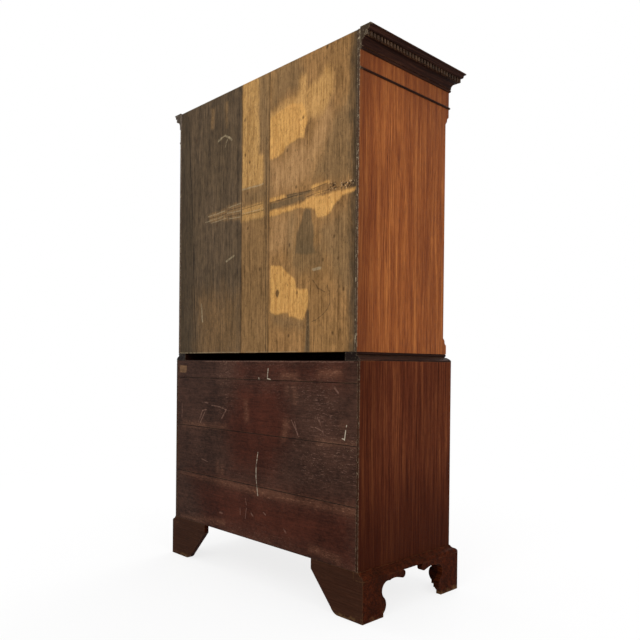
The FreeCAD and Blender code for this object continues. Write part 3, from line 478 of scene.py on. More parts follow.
@dataclass(frozen=True)
class PolishedMahogany(Finish):
    """Old polish over mahogany: ribbons of colour, fine pores, edges lightened by wear and partly by a painted
    highlight, painted shade in slow darkenings, and bare dirty wood at the back, painted near-black as shade on the
    waist.
    """

    dark: Colour
    middle: Colour
    light: Colour
    # Lighter edge colour: worn polish and, in part, a painted highlight.
    worn: Colour = tone(128, 84, 52)
    unpolished_and_shade: Colour = tone(66, 54, 40)
    chip: Colour = tone(176, 160, 132)
    dust_tone: Colour = tone(84, 72, 60)
    band_width: float = 0.03
    length: float = 26.0
    waver: float = 0.02
    roughness: float = 0.45
    gloss: float = 0.05
    wear: float = 0.4
    painted_shades: tuple[PaintedShade, ...] = ()
    dust: float = 0.12
    chipped: float = 0.5
    specked: float = 1.0
    scuffed: float = 0.0
    rear_face: tuple[float, float] = (0.246, 0.252)
    rear_edge: tuple[float, float] = (0.238, 0.250)
    scuff_height: tuple[float, float] = (0.056, 0.040)

    def lay(self, web: Web) -> None:
        """Draws up the finish on a shader.

        Args:
            web: the material's web.
        """
        place, upright = web.place(self.grain), web.place(Grain.UPRIGHT)
        point = web.split(upright)
        ribbon, stripe, thread = (
            web.group(web.shared.grain, Place=place, Band_Width=self.band_width * width, Length=self.length * length,
                      Waver=self.waver) for width, length in ((1.0, 1.0), (0.30, 1.8), (0.13, 2.6)))
        share = web.weighed((ribbon["Bands"], 0.30), (stripe["Bands"], 0.33), (thread["Bands"], 0.37))
        colour = web.ramp(share, (0.08, self.dark), (0.5, self.middle), (0.92, self.light))
        colour = web.over(colour, web.patches(place, (4, 1.6), (3, 0.5), 0.36, 0.7), 0.35, self.dark)
        fleck = web.patches(place, (420, 34), (3, 0.6), 0.42, 0.62)
        colour = web.over(colour, fleck, 0.42, (0.5, 0.42, 0.36), "MULTIPLY")
        colour = web.over(colour, ribbon["Pores"], 0.6, (0.35, 0.28, 0.26), "MULTIPLY")
        # Painted shade: each of these darkens the colour slowly along an axis, towards where shade falls.
        for painted_shade in self.painted_shades:
            mask = web.span(point[painted_shade.axis], painted_shade.start, painted_shade.full)
            shade = web.blend(1.0, self.dark, (0.55, 0.45, 0.42), "MULTIPLY")
            colour = web.over(colour, mask, painted_shade.strength, shade)
        # Lighter colour along sharp edges: worn polish and, in part, a painted highlight where a rounded edge would
        # catch the light.
        worn = web.group(web.shared.wear, Place=place)["Worn"]
        colour = web.over(colour, worn, self.wear, self.worn)
        back = web.times(web.span(web.facing(1), 0.75, 0.95), web.span(point[1], *self.rear_face))
        # Faces that look back take the unpolished colour; on the waist this is painted shade.
        bare_and_shade = web.over(self.unpolished_and_shade, stripe["Bands"], 0.6, (0.4, 0.36, 0.34), "MULTIPLY")
        bare_and_shade = web.over(bare_and_shade, fleck, 0.4, (0.5, 0.46, 0.42), "MULTIPLY")
        colour = web.over(colour, back, 0.9, bare_and_shade)
        colour = web.blend(self.chips(web, place, back, point[1]), colour, self.chip)
        if self.scuffed:
            low = web.maths("MULTIPLY_ADD", web.noise(web.scaled(upright, 28, 40), 5, 0.7), 0.09, point[2])
            colour = web.over(colour, web.span(low, *self.scuff_height), self.scuffed, self.chip)
        dust = web.group(web.shared.dust, Place=place, Amount=self.dust)["Dust"]
        colour = web.blend(dust, colour, self.dust_tone)
        rough = web.maths("MULTIPLY_ADD", web.noise(web.scaled(place, 30, 9), 4, 0.6), 0.24, self.roughness - 0.12)
        rough = web.maths("MULTIPLY_ADD", dust, 0.4, rough, clamp=True)
        height = web.maths("SUBTRACT", web.times(stripe["Streaks"], 0.5), ribbon["Pores"])
        web.coat(colour, rough, height, 0.0004, self.gloss)

    def chips(self, web: Web, place: Socket, back: Socket, depth: Socket) -> Socket:
        """Chips off the rear edges, and specks on the faces that look back.

        Args:
            web: the material's web.
            place: the point, with its third part along the grain.
            back: how far the surface looks back, 0 to 1.
            depth: the point's Y.

        Returns:
            How chipped the surface is, 0 to 1.
        """
        broken = web.group(web.shared.wear, Place=place, Radius=0.005, Break_Up=110.0)["Worn"]
        specks = web.times(web.patches(place, (150, 90), (3, 0.6), 0.60, 0.66), web.times(back, self.specked))
        chips = web.maths("MAXIMUM", specks, broken)
        return web.times(chips, web.span(depth, *self.rear_edge, 0, self.chipped))


@dataclass(frozen=True)
class BareWood(Finish):
    """Unpolished softwood or oak, toned by age and handling, with painted shade darkening the slot between the cases
    where it is asked for.
    """

    dark: Colour
    light: Colour
    grime_and_shade: Colour
    band_width: float = 0.014
    roughness: float = 0.72
    # How dark the painted shade in the slot between the cases is, with its height and reach.
    slot_shade: float = 0.0
    slot_height: float = 0.821
    slot_reach: tuple[float, float] = (0.018, 0.016)

    def lay(self, web: Web) -> None:
        """Draws up the finish on a shader.

        Args:
            web: the material's web.
        """
        place = web.place(self.grain)
        grain = web.group(web.shared.grain, Place=place, Band_Width=self.band_width, Length=34.0, Waver=0.012)
        mottle = web.patches(place, (90, 30), (5, 0.7), 0.3, 0.7)
        share = web.weighed((grain["Bands"], 0.4), (grain["Streaks"], 0.3), (mottle, 0.3))
        colour = web.ramp(share, (0.05, self.dark), (0.95, self.light))
        colour = web.over(colour, grain["Pores"], 0.45, self.dark)
        worn = web.group(web.shared.wear, Place=place, Radius=0.004)["Worn"]
        dirt_and_shade = web.times(web.patches(place, (9, 4), (5, 0.6), 0.42, 0.72), 0.2)
        dirt_and_shade = web.maths("MAXIMUM", dirt_and_shade, web.times(worn, 0.6))
        # Painted shade: the carcass goes near-black close to the height of the slot between the upper and lower cases.
        if self.slot_shade:
            away = web.maths("ABSOLUTE", web.maths("SUBTRACT", web.axes()[2], self.slot_height))
            dirt_and_shade = web.maths("MAXIMUM", dirt_and_shade, web.span(away, *self.slot_reach, 0, self.slot_shade))
        colour = web.blend(dirt_and_shade, colour, self.grime_and_shade)
        height = web.maths("SUBTRACT", grain["Streaks"], grain["Pores"])
        web.coat(colour, self.roughness, height, 0.0004, gloss=0.1)


@dataclass(frozen=True)
class AgedBrass(Finish):
    """Cast brass, bright where hands rub it and brown in the hollows."""

    bright: Colour
    tarnish: Colour

    def lay(self, web: Web) -> None:
        """Draws up the finish on a shader.

        Args:
            web: the material's web.
        """
        place = web.place(self.grain)
        cloud = web.patches(place, (130, 130), (5, 0.65), 0.35, 0.68)
        worn = web.group(web.shared.wear, Place=place, Radius=0.0015, Break_Up=60.0)["Worn"]
        share = web.maths("SUBTRACT", cloud, web.times(worn, 0.6), clamp=True)
        colour = web.blend(share, self.bright, self.tarnish)
        pits = web.noise(web.scaled(place, 600, 600), 3)
        web.coat(colour, web.span(share, 0, 1, 0.34, 0.6), pits, 0.0001)
        web.shader.inputs["Metallic"].default_value = 1.0


@dataclass(frozen=True)
class BoardMark:
    """One kind of mark on the boards: the attribute that holds its depth, its shades, its edge and its outlines."""

    name: str
    shades: Shades
    torn: float
    strength: float
    outlines: list[Outline]
    soft: float = 0.2
    grit: float = 0.0
    stop: float | None = None

    def laid(self, web: Web, colour: Socket, share: Socket, ragged: Socket, grit: Socket) -> Socket:
        """Lays the mark over the wood.

        Args:
            web: the finish's web.
            colour: the colour so far.
            share: the grain, 0 to 1.
            ragged: a noise about nought that tears the mark's edge.
            grit: a fine pattern, 0 to 1, that breaks the mark up.

        Returns:
            The new colour.
        """
        depth = web.maths("MULTIPLY_ADD", ragged, self.torn, web.attribute(self.name))
        inside = web.span(depth, -self.soft * self.torn, (self.soft + 0.05) * self.torn)
        if self.stop is not None:
            across = web.split(web.place(Grain.UPRIGHT))[0]
            inside = web.times(inside, web.maths("LESS_THAN", across, self.stop))
        if self.grit:
            inside = web.times(inside, web.span(grit, 0, 1, 1 - self.grit, 1))
        shade = web.ramp(share, (0.1, self.shades[0]), (0.9, self.shades[1]))
        return web.over(colour, inside, self.strength, shade)


@dataclass(frozen=True)
class Strokes:
    """Strokes of one shade on a back, from end to end in millimetres across and up, their widths in tenths of one."""

    lines: tuple[Line, ...]
    shade: Colour
    strength: float
    gaps: float = 1.0
    most_wander: float = 0.008

    def laid(self, web: Web, colour: Socket, place: Socket) -> Socket:
        """Lays the strokes over the wood.

        Args:
            web: the finish's web.
            colour: the colour so far.
            place: the point across, in and up.

        Returns:
            The new colour.
        """
        for x, z, x_end, z_end, tenths in self.lines:
            width = tenths / 10000
            mark = web.group(web.shared.scratch, Place=place, Start=(x / 1000, 0, z / 1000),
                             End=(x_end / 1000, 0, z_end / 1000), Width=width,
                             Wander=min(self.most_wander, 2.5 * width), Break_Up=self.gaps)["Mark"]
            colour = web.over(colour, mark, self.strength, self.shade)
        return colour


@dataclass(frozen=True)
class BoardedPine(Finish):
    """What the finishes of both backs have: marks, and strokes over them."""

    marks: tuple[BoardMark, ...]
    strokes: tuple[Strokes, ...]


@dataclass(frozen=True)
class UpperBackPine(BoardedPine):
    """Wide weathered boards, each in its own shades, with torn and scrubbed places."""

    boards: tuple[Shades, ...]
    joints: tuple[float, ...]
    splinter_dark: Colour = tone(54, 40, 28)
    splinter_pale: Colour = tone(205, 178, 140)
    knot: Colour = tone(62, 42, 24)
    speck: Colour = tone(66, 50, 30)
    pore: Colour = tone(62, 46, 30)
    joint: Colour = tone(52, 40, 30)

    def lay(self, web: Web) -> None:
        """Draws up the finish on a shader.

        Args:
            web: the material's web.
        """
        place = web.place(self.grain)
        across = web.split(place)[0]
        grain, fine, thread = (web.group(web.shared.grain, Place=place, Band_Width=width, Length=length, Waver=0.015)
                               for width, length in ((0.024, 14.0), (0.0065, 26.0), (0.0032, 26.0)))
        mottle = web.patches(place, (70, 34), (6, 0.75), 0.3, 0.7)
        share = web.weighed((grain["Bands"], 0.16), (fine["Bands"], 0.24), (thread["Bands"], 0.26), (mottle, 0.34))
        colour, *others = (web.ramp(share, (0.15, shades[0]), (0.85, shades[1])) for shades in self.boards)
        for joint, shade in zip(self.joints, others):
            colour = web.blend(web.maths("GREATER_THAN", across, joint), colour, shade)
        cloudy = web.noise(web.scaled(place, 26, 12), 5, 0.62)
        ragged = web.maths("ADD", web.times(web.noise(web.scaled(place, 260, 20), 3, 0.6), 0.8), cloudy)
        ragged = web.maths("SUBTRACT", ragged, 0.9)
        grit = web.patches(place, (150, 60), (4, 0.65), 0.36, 0.56)
        for mark in self.marks:
            colour = mark.laid(web, colour, share, ragged, grit)
        broad = web.patches(place, (7, 4), (4, 0.6), 0.35, 0.7)
        colour = web.over(colour, broad, 0.5, (0.74, 0.74, 0.68), "MULTIPLY")
        torn = web.span(web.attribute("torn"), -0.004, 0.006)
        bits = web.noise(web.scaled(place, 150, 110), 2, 0.5)
        for low, high, shade in ((0.50, 0.56, self.splinter_dark), (0.40, 0.34, self.splinter_pale)):
            colour = web.blend(web.times(torn, web.span(bits, low, high)), colour, shade)
        colour = web.over(colour, web.span(web.attribute("knots"), -0.004, 0.003), 0.8, self.knot)
        for strokes in self.strokes:
            colour = strokes.laid(web, colour, place)
        colour = web.over(colour, web.patches(place, (190, 90), (2, 0.5), 0.60, 0.72), 0.45, self.speck)
        saw = web.patches(place, (60, 330), (3, 0.6), 0.45, 0.66)
        colour = web.over(colour, saw, 0.3, (0.78, 0.76, 0.72), "MULTIPLY")
        colour = web.over(colour, grain["Pores"], 0.3, self.pore)
        # Painted shadow: a dark line along each joint, where the gap between boards falls in shade.
        colour = web.over(colour, web.span(web.attribute("joint"), 0.005, 0.0), 0.45, self.joint)
        height = web.maths("ADD", web.times(fine["Streaks"], 0.6), share)
        web.coat(colour, 0.85, height, 0.0012, gloss=0.06)


@dataclass(frozen=True)
class StainedPine(BoardedPine):
    """Level boards under a thin dark red-brown stain, rubbed, scratched and chalk-marked."""

    dark: Colour
    red: Colour
    faint: Colour
    speck: Colour = tone(140, 116, 92)
    worn: Colour = tone(124, 94, 70)
    joint: Colour = tone(20, 12, 10)

    def lay(self, web: Web) -> None:
        """Draws up the finish on a shader.

        Args:
            web: the material's web.
        """
        place, upright = web.place(self.grain), web.place(Grain.UPRIGHT)
        grain, fine = (web.group(web.shared.grain, Place=place, Band_Width=width, Length=length, Waver=0.02)
                       for width, length in ((0.014, 20.0), (0.0036, 24.0)))
        cloud = web.patches(upright, (5.5, 5), (5, 0.6), 0.3, 0.7)
        speckle = web.patches(place, (120, 60), (6, 0.8), 0.3, 0.7)
        share = web.weighed((cloud, 0.36), (fine["Bands"], 0.16), (grain["Bands"], 0.10), (speckle, 0.38))
        colour = web.ramp(share, (0.15, self.dark), (0.85, self.red))
        smear = web.patches(place, (300, 60), (4, 0.65), 0.55, 0.68)
        rubbed = web.patches(upright, (6, 6), (4, 0.6), 0.46, 0.64)
        specks = web.patches(upright, (240, 200), (2, 0.5), 0.66, 0.72)
        for mask, more, least, shade in ((smear, 0.4, 0.08, self.faint), (specks, 0.5, 0.1, self.speck)):
            strength = web.maths("MULTIPLY_ADD", rubbed, more, least)
            colour = web.blend(web.times(mask, strength), colour, shade)
        ragged = web.maths("SUBTRACT", web.noise(web.scaled(upright, 90, 90), 6, 0.75), 0.5)
        for mark in self.marks:
            colour = mark.laid(web, colour, share, ragged, smear)
        for strokes in self.strokes:
            colour = strokes.laid(web, colour, upright)
        worn = web.group(web.shared.wear, Place=place, Radius=0.004, Break_Up=22.0)["Worn"]
        colour = web.over(colour, worn, 0.5, self.worn)
        # Painted shadow: a near-black line along each joint, where the gap between boards falls in shade.
        colour = web.over(colour, web.span(web.attribute("joint"), 0.003, 0.0), 0.85, self.joint)
        height = web.maths("ADD", grain["Streaks"], smear)
        web.coat(colour, web.span(smear, 0, 1, 0.6, 0.8), height, 0.0006, gloss=0.03)


# ---------------------------------------------------------------- making and dressing pieces


def finished(piece: Piece, body: str, node: str) -> None:
    """Fixes a finished piece to its body.

    Args:
        piece: the piece, in place.
        body: the body that carries it.
        node: the CAD node that it replaces.
    """
    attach(piece, body)
    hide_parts(node)
    LOG.info("%s: %d faces on %s", piece.name, len(piece.data.polygons), body)


def new_piece(name: str, shape: bpy.types.ID) -> Piece:
    """Puts a shape into the scene as an object at the origin.

    Args:
        name: the object's name.
        shape: its mesh, curve, lamp or camera.

    Returns:
        The object.
    """
    piece = bpy.data.objects.new(name, shape)
    bpy.context.scene.collection.objects.link(piece)
    return piece


def made_mesh(name: str, made: bmesh.types.BMesh) -> Mesh:
    """Turns a mesh in the making into a plain one, and clears the making away.

    Args:
        name: the mesh's name.
        made: the mesh in the making.

    Returns:
        The mesh.
    """
    mesh = bpy.data.meshes.new(name)
    made.to_mesh(mesh)
    made.free()
    return mesh


def signed_depth(points: np.ndarray, outline: Outline) -> np.ndarray:
    """How deep each point lies inside an outline, and how far outside as a negative number.

    Args:
        points: rows of two coordinates.
        outline: the corners in order.

    Returns:
        One depth for each point.
    """
    corners = np.array(outline)
    inside = np.zeros(len(points), bool)
    nearest = np.full(len(points), 9.0)
    for start, end in zip(corners, np.roll(corners, -1, axis=0)):
        reach = end - start
        share = np.clip(((points - start) @ reach) / (reach @ reach), 0, 1)
        nearest = np.minimum(nearest, np.linalg.norm(points - start - share[:, None] * reach, axis=1))
        crosses = (start[1] > points[:, 1]) != (end[1] > points[:, 1])
        rise = reach[1] if reach[1] else 1e-9
        inside ^= crosses & (points[:, 0] < reach[0] * (points[:, 1] - start[1]) / rise + start[0])
    return np.where(inside, nearest, -nearest)


def outline(*numbers: int) -> Outline:
    """Pairs whole millimetres up, across and up in turn, and returns the corners in metres."""
    return [(x / 1000, z / 1000) for x, z in zip(numbers[::2], numbers[1::2])]


@dataclass
class BoardedBack:
    """A back of boards, finely divided so that its marks can be kept on the mesh."""

    node: str
    slot: MaterialSlot
    joints: tuple[float, ...]
    axis: int
    gap: float = 0.0008
    cell: float = 0.009
    eased: float = 0.0012
    hollow: float = 0.0008

    def finish(self) -> BoardedPine:
        """The finish of the boards."""
        raise NotImplementedError

    def spots(self) -> dict[str, list[Outline]]:
        """Outlines that the finish treats in ways of its own, besides its marks."""
        return {}

    def grid(self, low: float, high: float) -> np.ndarray:
        """Grid lines over one length, with one close to each end for the eased edge."""
        inner = np.linspace(low + self.eased, high - self.eased, max(2, round((high - low) / self.cell)))
        return np.concatenate(([low], inner, [high]))

    def board(self, made: bmesh.types.BMesh, low: Vector, high: Vector) -> None:
        """Adds one board, its outer face eased at the edges and a little hollow.

        Args:
            made: the mesh that the board is added to.
            low: the corner with the least X, Y and Z.
            high: the corner with the greatest.
        """
        across, up = self.grid(low.x, high.x), self.grid(low.z, high.z)
        rows = []
        for z in up:
            row = []
            for x in across:
                edge = min(x - low.x, high.x - x, z - low.z, high.z - z)
                share = ((x, 0, z)[self.axis] - low[self.axis]) / (high[self.axis] - low[self.axis])
                sunk = self.eased if edge < 1e-6 else self.hollow * math.sin(math.pi * share)
                row.append(made.verts.new((x, high.y - sunk, z)))
            rows.append(row)
        for below, above in zip(rows, rows[1:]):
            for number in range(len(across) - 1):
                made.faces.new((below[number + 1], below[number], above[number], above[number + 1]))
        rim = rows[0] + [row[-1] for row in rows[1:]] + rows[-1][-2::-1] + [row[0] for row in rows[-2:0:-1]]
        inner = [made.verts.new((vertex.co.x, low.y, vertex.co.z)) for vertex in rim]
        for number, vertex in enumerate(rim):
            following = (number + 1) % len(rim)
            made.faces.new((vertex, rim[following], inner[following], inner[number]))
        made.faces.new(inner)

    def build(self, shared: SharedNodes) -> None:
        """Makes the whole back, keeps its marks on the mesh, and stands it in for its CAD node.

        Args:
            shared: the node groups that finishes share.
        """
        low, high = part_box(self.node)
        edges = [low[self.axis], *self.joints, high[self.axis]]
        made = bmesh.new()
        for number, (start, end) in enumerate(zip(edges, edges[1:])):
            first, last = low.copy(), high.copy()
            first[self.axis] = start + (self.gap if number else 0)
            last[self.axis] = end
            self.board(made, first, last)
        bmesh.ops.recalc_face_normals(made, faces=made.faces)
        mesh = made_mesh(self.node + "_boards", made)
        points = np.zeros(len(mesh.vertices) * 3)
        mesh.vertices.foreach_get("co", points)
        points = points.reshape(-1, 3)
        finish = self.finish()
        outlines = {mark.name: mark.outlines for mark in finish.marks} | self.spots()
        kept = {name: np.max([signed_depth(points[:, [0, 2]], one) for one in several], axis=0)
                for name, several in outlines.items()}
        kept["joint"] = np.min([np.abs(points[:, self.axis] - edge) for edge in edges], axis=0)
        for name, values in kept.items():
            mesh.attributes.new(name, "FLOAT", "POINT").data.foreach_set("value", values)
        mesh.materials.append(finish.material(shared))
        finished(new_piece(mesh.name, mesh), "case", self.node)


@dataclass
class UpperBack(BoardedBack):
    """The three upright boards behind the upper case, torn, scrubbed and stained."""

    node: str = "upper_back_boards"
    slot: MaterialSlot = MaterialSlot.UPPER_BACK
    joints: tuple[float, ...] = (-0.075, 0.083)
    axis: int = 0
    cell: float = 0.006
    knot_size: float = 0.0045
    large_knot: tuple[float, float, float] = (-0.124, 1.041, 0.0095)

    def finish(self) -> BoardedPine:
        """The finish of the boards: golden brown, tan and dark, under their marks and strokes.

        Returns:
            The finish.
        """
        boards = ((tone(100, 71, 40), tone(166, 124, 77)), (tone(90, 66, 39), tone(152, 116, 75)),
                  (tone(52, 42, 32), tone(106, 86, 64)))
        return UpperBackPine("upper back pine", Grain.UPRIGHT, self.marks(), self.strokes(), boards, self.joints)

    def marks(self) -> tuple[BoardMark, ...]:
        """The marks on the boards, in the order in which they lie over each other.

        Returns:
            The marks.
        """
        first_joint = self.joints[0]
        return (
            BoardMark("clean", (tone(136, 100, 64), tone(192, 150, 102)), 0.070, 0.70, [
                outline(-80, 1510, -150, 1510, -180, 1540, -300, 1540, -340, 1600, -380, 1640, -390, 1560,
                        -330, 1480, -290, 1420, -200, 1390, -80, 1385),
                outline(-80, 1310, -230, 1310, -200, 1200, -80, 1180),
            ], 0.50),
            BoardMark("grey", (tone(90, 70, 46), tone(142, 112, 76)), 0.060, 0.70, [
                outline(-76, 1813, -155, 1850, -234, 1850, -252, 1756, -235, 1722, -157, 1716, -121, 1697,
                        -76, 1682),
                outline(-11, 1830, -74, 1830, -74, 1440, -46, 1440, -40, 1560, -14, 1600),
                outline(-400, 1600, -480, 1650, -480, 1370, -360, 1390, -300, 1410, -340, 1500),
                outline(82, 1433, -74, 1433, -74, 1320, -46, 1320, -42, 1376, 82, 1378),
                outline(-190, 1200, -350, 1190, -360, 1107, -294, 1100, -217, 1100, -191, 1130),
                outline(-92, 967, -262, 938, -263, 914, -92, 930),
                outline(-180, 1310, -216, 1310, -216, 1180, -190, 1150, -170, 1200),
                outline(-320, 1240, -480, 1300, -480, 1000, -420, 1050, -350, 1160),
            ], 0.50),
            BoardMark("golden", (tone(144, 104, 56), tone(208, 162, 98)), 0.026, 0.85, [
                outline(82, 1850, -11, 1850, -14, 1550, -42, 1540, -42, 1437, 82, 1437),
                outline(82, 1374, -42, 1372, -50, 1323, 82, 1322),
                outline(83, 1338, -52, 1335, -52, 1320, 83, 1320),
            ], 0.30, 0.40),
            # The first outline is a dark strip along the near edge; the second is painted shade darkening the far part
            # of the back.
            BoardMark("dim", (tone(42, 34, 25), tone(82, 67, 50)), 0.050, 0.90, [
                outline(-560, 800, -468, 800, -468, 1900, -560, 1900),
                outline(560, 1900, 440, 1900, 404, 1300, 372, 900, 372, 800, 560, 800),
            ], 0.45),
            BoardMark("paler", (tone(86, 64, 40), tone(140, 106, 68)), 0.150, 0.75, [
                outline(355, 1065, 83, 1061, 83, 800, 366, 800),
            ], 0.50, 0.3),
            BoardMark("smeared", (tone(96, 74, 48), tone(158, 122, 80)), 0.024, 0.80, [
                outline(173, 1392, 84, 1392, 84, 1328, 172, 1338),
                outline(300, 1378, 173, 1384, 173, 1340, 290, 1352),
                outline(192, 1790, 186, 1690, 176, 1690, 174, 1790),
                outline(284, 1790, 286, 1710, 268, 1710, 262, 1790),
            ], 0.40, 0.55),
            BoardMark("stained", (tone(72, 58, 40), tone(118, 96, 68)), 0.016, 0.80, [
                outline(-266, 1313, -291, 1306, -296, 1266, -306, 1247, -305, 1200, -313, 1157, -216, 1169,
                        -220, 1231, -245, 1273, -253, 1303),
                outline(-273, 985, -283, 975, -292, 938, -291, 820, -263, 820, -271, 911),
                outline(-76, 1358, -165, 1361, -253, 1359, -265, 1346, -188, 1338, -78, 1337),
                outline(-170, 1375, -290, 1370, -290, 1362, -250, 1358, -170, 1362),
            ], 0.30),
            BoardMark("brushed", (tone(154, 112, 62), tone(210, 163, 100)), 0.044, 0.88, [
                outline(-75, 1668, -93, 1680, -139, 1690, -157, 1702, -192, 1704, -222, 1702, -232, 1722,
                        -236, 1762, -262, 1756, -268, 1716, -290, 1722, -330, 1730, -342, 1744, -364, 1764,
                        -382, 1726, -388, 1700, -388, 1668, -374, 1650, -363, 1630, -339, 1612, -311, 1612,
                        -283, 1608, -262, 1590, -200, 1600, -100, 1640),
            ], 0.35, 0.35, first_joint),
            BoardMark("scrubbed", (tone(162, 113, 58), tone(224, 172, 100)), 0.018, 0.95, [
                outline(-60, 1655, -100, 1664, -150, 1674, -185, 1684, -215, 1676, -245, 1670, -262, 1640,
                        -272, 1604, -258, 1580, -254, 1550, -220, 1553, -181, 1548, -159, 1541, -146, 1521,
                        -123, 1514, -86, 1513, -60, 1520),
                outline(-76, 1378, -161, 1380, -165, 1368, -76, 1363),
                outline(-76, 1333, -161, 1333, -266, 1334, -265, 1342, -299, 1348, -335, 1347, -375, 1343,
                        -428, 1344, -462, 1343, -495, 1342, -491, 1335, -477, 1330, -432, 1327, -421, 1316,
                        -395, 1304, -383, 1282, -368, 1276, -336, 1273, -320, 1273, -309, 1302, -290, 1312,
                        -232, 1320, -188, 1317, -143, 1316, -76, 1314),
                outline(-303, 1358, -331, 1363, -359, 1360, -359, 1352, -319, 1345),
                outline(-290, 1379, -318, 1386, -374, 1384, -378, 1378, -331, 1376, -298, 1369),
                outline(-85, 1140, -146, 1135, -153, 1123, -182, 1105, -211, 1087, -222, 1052, -280, 1044,
                        -284, 1012, -277, 976, -258, 943, -232, 947, -188, 958, -178, 970, -111, 968, -88, 978),
            ], 0.25, 0.24, first_joint),
        )

    def spots(self) -> dict[str, list[Outline]]:
        """The outlines of the torn places and the knots.

        Returns:
            The outlines of each kind.
        """
        torn = [
            outline(-409, 1350, -372, 1350, -372, 1376, -409, 1376),
            outline(-487, 1347, -428, 1347, -428, 1368, -487, 1368),
        ]
        places = outline(
            -124, 1041, -225, 1036, -25, 1134, -350, 1134, -418, 1131, -444, 1033, -397, 895, -185, 892, 68, 1691,
            -249, 1619, -360, 1817, 64, 1562, 38, 1531, 46, 1291, -170, 1527, -400, 1203, -185, 1201, 50, 1419,
            -217, 1393, 385, 1690, 240, 1330,
        )
        knots = [(x, z, self.knot_size) for x, z in places] + [self.large_knot]
        turns = [math.pi * step / 4 for step in range(8)]
        rings = [[(x + size * math.cos(turn), z + 1.4 * size * math.sin(turn)) for turn in turns]
                 for x, z, size in knots]
        return {"torn": torn, "knots": rings}

    def strokes(self) -> tuple[Strokes, ...]:
        """The chalk strokes, the long crack, and the dark scratches.

        Returns:
            The strokes.
        """
        chalk = (
            (236, 1654, 216, 1660, 60), (216, 1660, 190, 1664, 30), (190, 1664, 164, 1650, 55),
            (164, 1650, 150, 1638, 65), (176, 1648, 190, 1620, 25), (176, 1184, 129, 1200, 50),
            (343, 1029, 334, 960, 50), (82, 1437, -40, 1437, 40), (82, 1350, -40, 1348, 25),
            (-304, 1106, -338, 1108, 70), (300, 1372, 190, 1376, 24), (320, 1352, 200, 1357, 20),
            (172, 1386, 88, 1390, 26), (172, 1365, 88, 1363, 26), (165, 1343, 88, 1340, 24),
            (280, 1343, 180, 1347, 18), (494, 837, 90, 837, 20), (60, 837, -230, 837, 14),
        )
        cracks = (
            (444, 1800, 409, 1389, 34), (409, 1389, 391, 1049, 34), (391, 1049, 375, 838, 34),
        )
        dark = (
            (-372, 1050, -383, 1015, 18), (-383, 1015, -384, 990, 20), (-384, 990, -372, 972, 20),
            (-372, 972, -348, 955, 20), (-348, 955, -318, 940, 20), (-318, 940, -300, 936, 18),
            (-302, 1073, -327, 1043, 26), (-327, 1043, -360, 1029, 26), (-56, 1600, -64, 840, 30),
            (300, 1362, 180, 1365, 22), (170, 1375, 90, 1376, 24), (170, 1352, 90, 1350, 22),
            (80, 1366, -40, 1367, 20), (80, 1344, -45, 1342, 22), (-80, 1362, -250, 1365, 24),
            (-170, 1373, -300, 1368, 22), (-270, 1352, -420, 1357, 22), (-290, 1372, -370, 1378, 20),
            (-280, 970, -281, 842, 95),
        )
        return (Strokes(chalk, tone(158, 142, 112), 0.55), Strokes(cracks, tone(36, 28, 20), 0.85, 0.15),
                Strokes(dark, tone(50, 38, 27), 0.6, 0.7))


